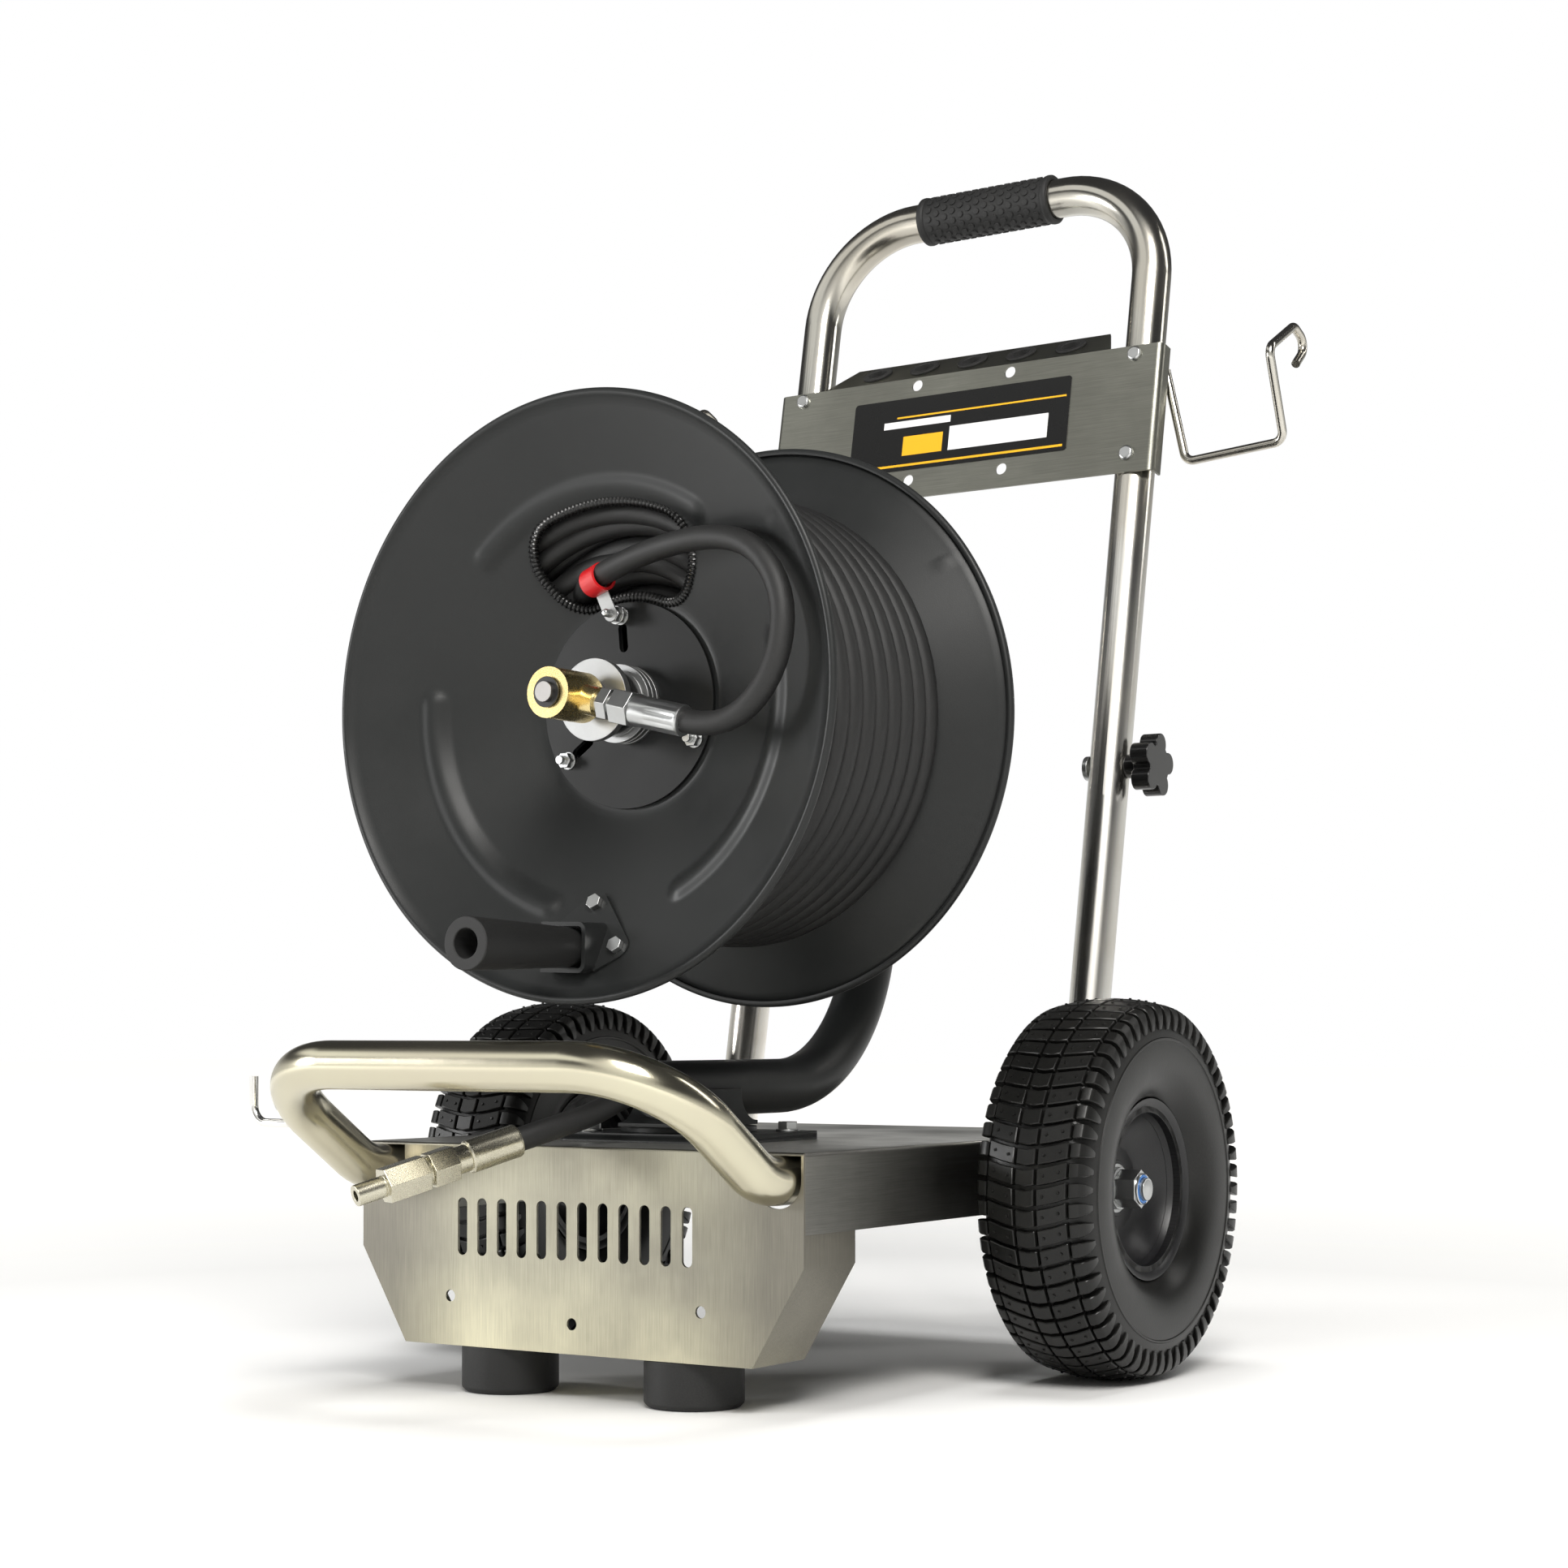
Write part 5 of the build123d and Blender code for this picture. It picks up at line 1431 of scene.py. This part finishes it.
@dataclass
class Studio:
    """Pale floor, soft lights and the camera.

    Attributes:
        lens: the camera's focal length.
        eye: where it stands, in the cart's millimetres.
        yaw: how far it is turned to the left, in degrees.
        pitch: how far it looks up, in degrees.
        shift: how far the picture is shifted up, beside its width.
        window: direction of the bright panel that the metal mirrors.
        strip: direction of the bright strip that it mirrors.
        lights: the soft lights.
    """

    lens: float = 63.6
    eye: Triple = (1121.9, -1469.7, 248.5)
    yaw: float = 32.98
    pitch: float = 1.13
    shift: float = 0.121
    window: Triple = (0.36, -0.78, 0.5)
    strip: Triple = (-0.74, -0.67, 0.0)
    lights: tuple[SoftBox, ...] = (
        SoftBox("key", (1.9, -2.3, 3.0), (0, 0, 0.4), (1.4, 1.7), 134, WARM_WHITE),
        SoftBox("side", (-2.45, -2.0, 0.85), (0, 0, 0.45), (0.6, 0.9), 40),
        SoftBox("rim", (1.8, 1.6, 1.9), (0, 0, 0.5), (0.3, 1.6), 8, WARM_WHITE),
        SoftBox("top", (0.1, 0.0, 3.2), (0, 0, 0), (1.1, 1.1), 44, mirrored=False),
    )

    def floor(self) -> None:
        """Lay the pale floor, which glows more the farther it lies from the cart and so goes over into white
        there.
        """
        Bench.clear()
        bpy.ops.mesh.primitive_plane_add(size=30.0, location=(0, 0, 0))
        floor = bpy.context.object
        floor.name = "studio_floor"
        paint = bpy.data.materials.new("pale floor")
        paint.use_nodes = True
        graph = Graph(paint.node_tree)
        place = graph.node("TexCoord").outputs["Object"]
        away = graph.node("VectorMath", place, operation="LENGTH").outputs["Value"]
        looks = {
            "Base Color": (0.88, 0.88, 0.87, 1),
            "Roughness": 0.8,
            "Specular IOR Level": 0.0,
            "Emission Color": (*SUN_WHITE, 1),
            "Emission Strength": graph.ramp(away, 1.0, 3.2, 0.0, 0.80),
        }
        for name, value in looks.items():
            graph.feed(paint.node_tree.nodes["Principled BSDF"].inputs[name], value)
        floor.data.materials.append(paint)

    def world(self) -> None:
        """Surround the cart with soft light, white to the eye and with panels for the metal to mirror."""
        world = bpy.data.worlds.new("soft surround")
        bpy.context.scene.world = world
        world.use_nodes = True
        graph = Graph(world.node_tree)
        around = graph.node("TexCoord").outputs["Generated"]
        height = graph.node("SeparateXYZ", around).outputs["Z"]
        rays = graph.node("LightPath").outputs
        soft = graph.blend(graph.ramp(height, -0.1, 0.7), (0.21, 0.206, 0.20), (0.26, 0.26, 0.26))
        wall = graph.blend(graph.ramp(height, 0.30, 0.10), (0.05, 0.05, 0.052), (0.66, 0.66, 0.64))
        window = graph.ramp(graph.along(around, self.window), 0.80, 0.97)
        lit = graph.blend(window, wall, SUN_WHITE)
        band = graph.maths("MULTIPLY", graph.ramp(height, 0.42, 0.52), graph.ramp(height, 0.74, 0.64))
        strip = graph.ramp(graph.along(around, self.strip), 0.5, 0.72)
        panels = graph.blend(graph.maths("MULTIPLY", band, strip), lit, (1.15, 1.15, 1.12))
        seen = graph.blend(rays["Is Glossy Ray"], soft, panels)
        back = world.node_tree.nodes["Background"].inputs
        graph.feed(back["Color"], graph.blend(rays["Is Camera Ray"], seen, WHITE))
        graph.feed(back["Strength"], 1.0)

    def camera(self) -> None:
        """Set the camera up."""
        data = bpy.data.cameras.new("camera")
        data.lens = self.lens
        data.sensor_width = 36.0
        data.shift_y = self.shift
        holder = Bench.hang("camera", data)
        holder.location = at(*self.eye)
        holder.rotation_euler = (math.radians(90 + self.pitch), 0.0, math.radians(self.yaw))
        bpy.context.scene.camera = holder

    def build(self) -> None:
        """Set the whole studio up."""
        self.floor()
        self.world()
        for light in self.lights:
            light.hang()
        self.camera()
        bpy.context.scene.view_settings.view_transform = "Standard"
        log.info("studio is set")


# ---------------------------------------------------------------- the cart

PLAIN_PIECES = {
    Body.CHASSIS: (
        ("deck", SHEET_TOP, 0.3), ("front_box", SHEET_VERTICAL, 0.3), ("bumper_tube", TUBE_PAINTED_WARM_REFLECTION, 0.0),
        ("side_hook", TUBE, 0.0), ("feet", RUBBER, 1.0), ("frame_bolts", ZINC, 0.3),
        ("frame_nuts", ZINC, 0.3), ("axle", ZINC, 0.4), ("axle_spacers", ZINC, 0.3), ("axle_nuts", ZINC, 0.4),
        ("lower_uprights", TUBE, 0.0), ("spigots", TUBE, 0.0), ("handle_tube", TUBE, 0.0),
        ("handle_grip", RUBBER, 1.0),
        ("carriage_bolts", ZINC, 0.4), ("rear_panel", SHEET_ACROSS, 0.3), ("grommets", RUBBER, 0.5),
        ("label_plate", LABEL, 0.0), ("panel_screws", ZINC, 0.0), ("hose_hooks", TUBE, 0.0),
        ("base_plates", POWDER, 0.4), ("arm_saddle", POWDER, 0.5), ("support_arm", POWDER, 0.3),
        ("arm_bush", RUBBER, 0.5), ("reel_shaft", TURNED, 0.5), ("shaft_circlip", EDGING, 0.2),
    ),
    Body.WHEEL_LEFT: (("rim_left", RIM, 0.8), ("wheel_bearings_left", ZINC, 0.3)),
    Body.WHEEL_RIGHT: (("rim_right", RIM, 0.8), ("wheel_bearings_right", ZINC, 0.3)),
    Body.REEL: (
        ("drum", POWDER, 0.0), ("reel_bearings", ZINC, 0.3), ("hub_plates", SATIN, 0.5),
        ("hub_fasteners", ZINC, 0.3), ("zinc_discs", MATT_ZINC, 0.4), ("swivel_spacers", PLASTIC, 0.4),
        ("swivel_body", BRASS, 0.7), ("port_nipple", ZINC, 0.4), ("port_nut", ZINC, 0.4),
        ("hose_clip", RED, 0.5),
        ("crank_bracket", POWDER, 0.5), ("crank_bolts", ZINC, 0.4), ("crank_pin", ZINC, 0.5),
    ),
    Body.GRIP: (("crank_grip", RUBBER, 1.0),),
    Body.KNOB_LEFT: (("knob_left", PLASTIC, 1.5),),
    Body.KNOB_RIGHT: (("knob_right", PLASTIC, 1.5),),
}


def main() -> None:
    """Build the cart's pieces in order, then the studio."""
    for body, pieces in PLAIN_PIECES.items():
        for node, finish, edge in pieces:
            Dressed(node, finish, edge, body).build()
    leader = LeaderHose()
    sleeve = Ferrule(
        "leader_ferrule", leader.end, leader.aim, 11.0, 37.0, (9.0, 10.0), metal=WARM_ZINC, flute_depth=0.2
    )
    fittings = [sleeve.build()]
    fittings += [Dressed(node, WARM_ZINC, 0.4).build() for node in ("leader_nut", "quick_plug")]
    hose = ReelHose()
    x, z = polar(hose.port_reach, hose.port_angle)
    mouth = (x, hose.port_depth, REEL_AXIS + z)
    Ferrule("jumper_ferrule", mouth, (-x, 0.0, -z), 10.5, 41.0, body=Body.REEL).build()
    ClipBolt().build()
    Flange().build()
    Tyre().build()
    LockNutInsert(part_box("axle_nuts")[1][0] / MM).build()
    GripBumps().build()
    hose.build([Dressed("hose_end", ZINC, 0.5, Body.REEL).build()])
    leader.build(fittings)
    Studio().build()


if __name__ == "__main__":
    main()
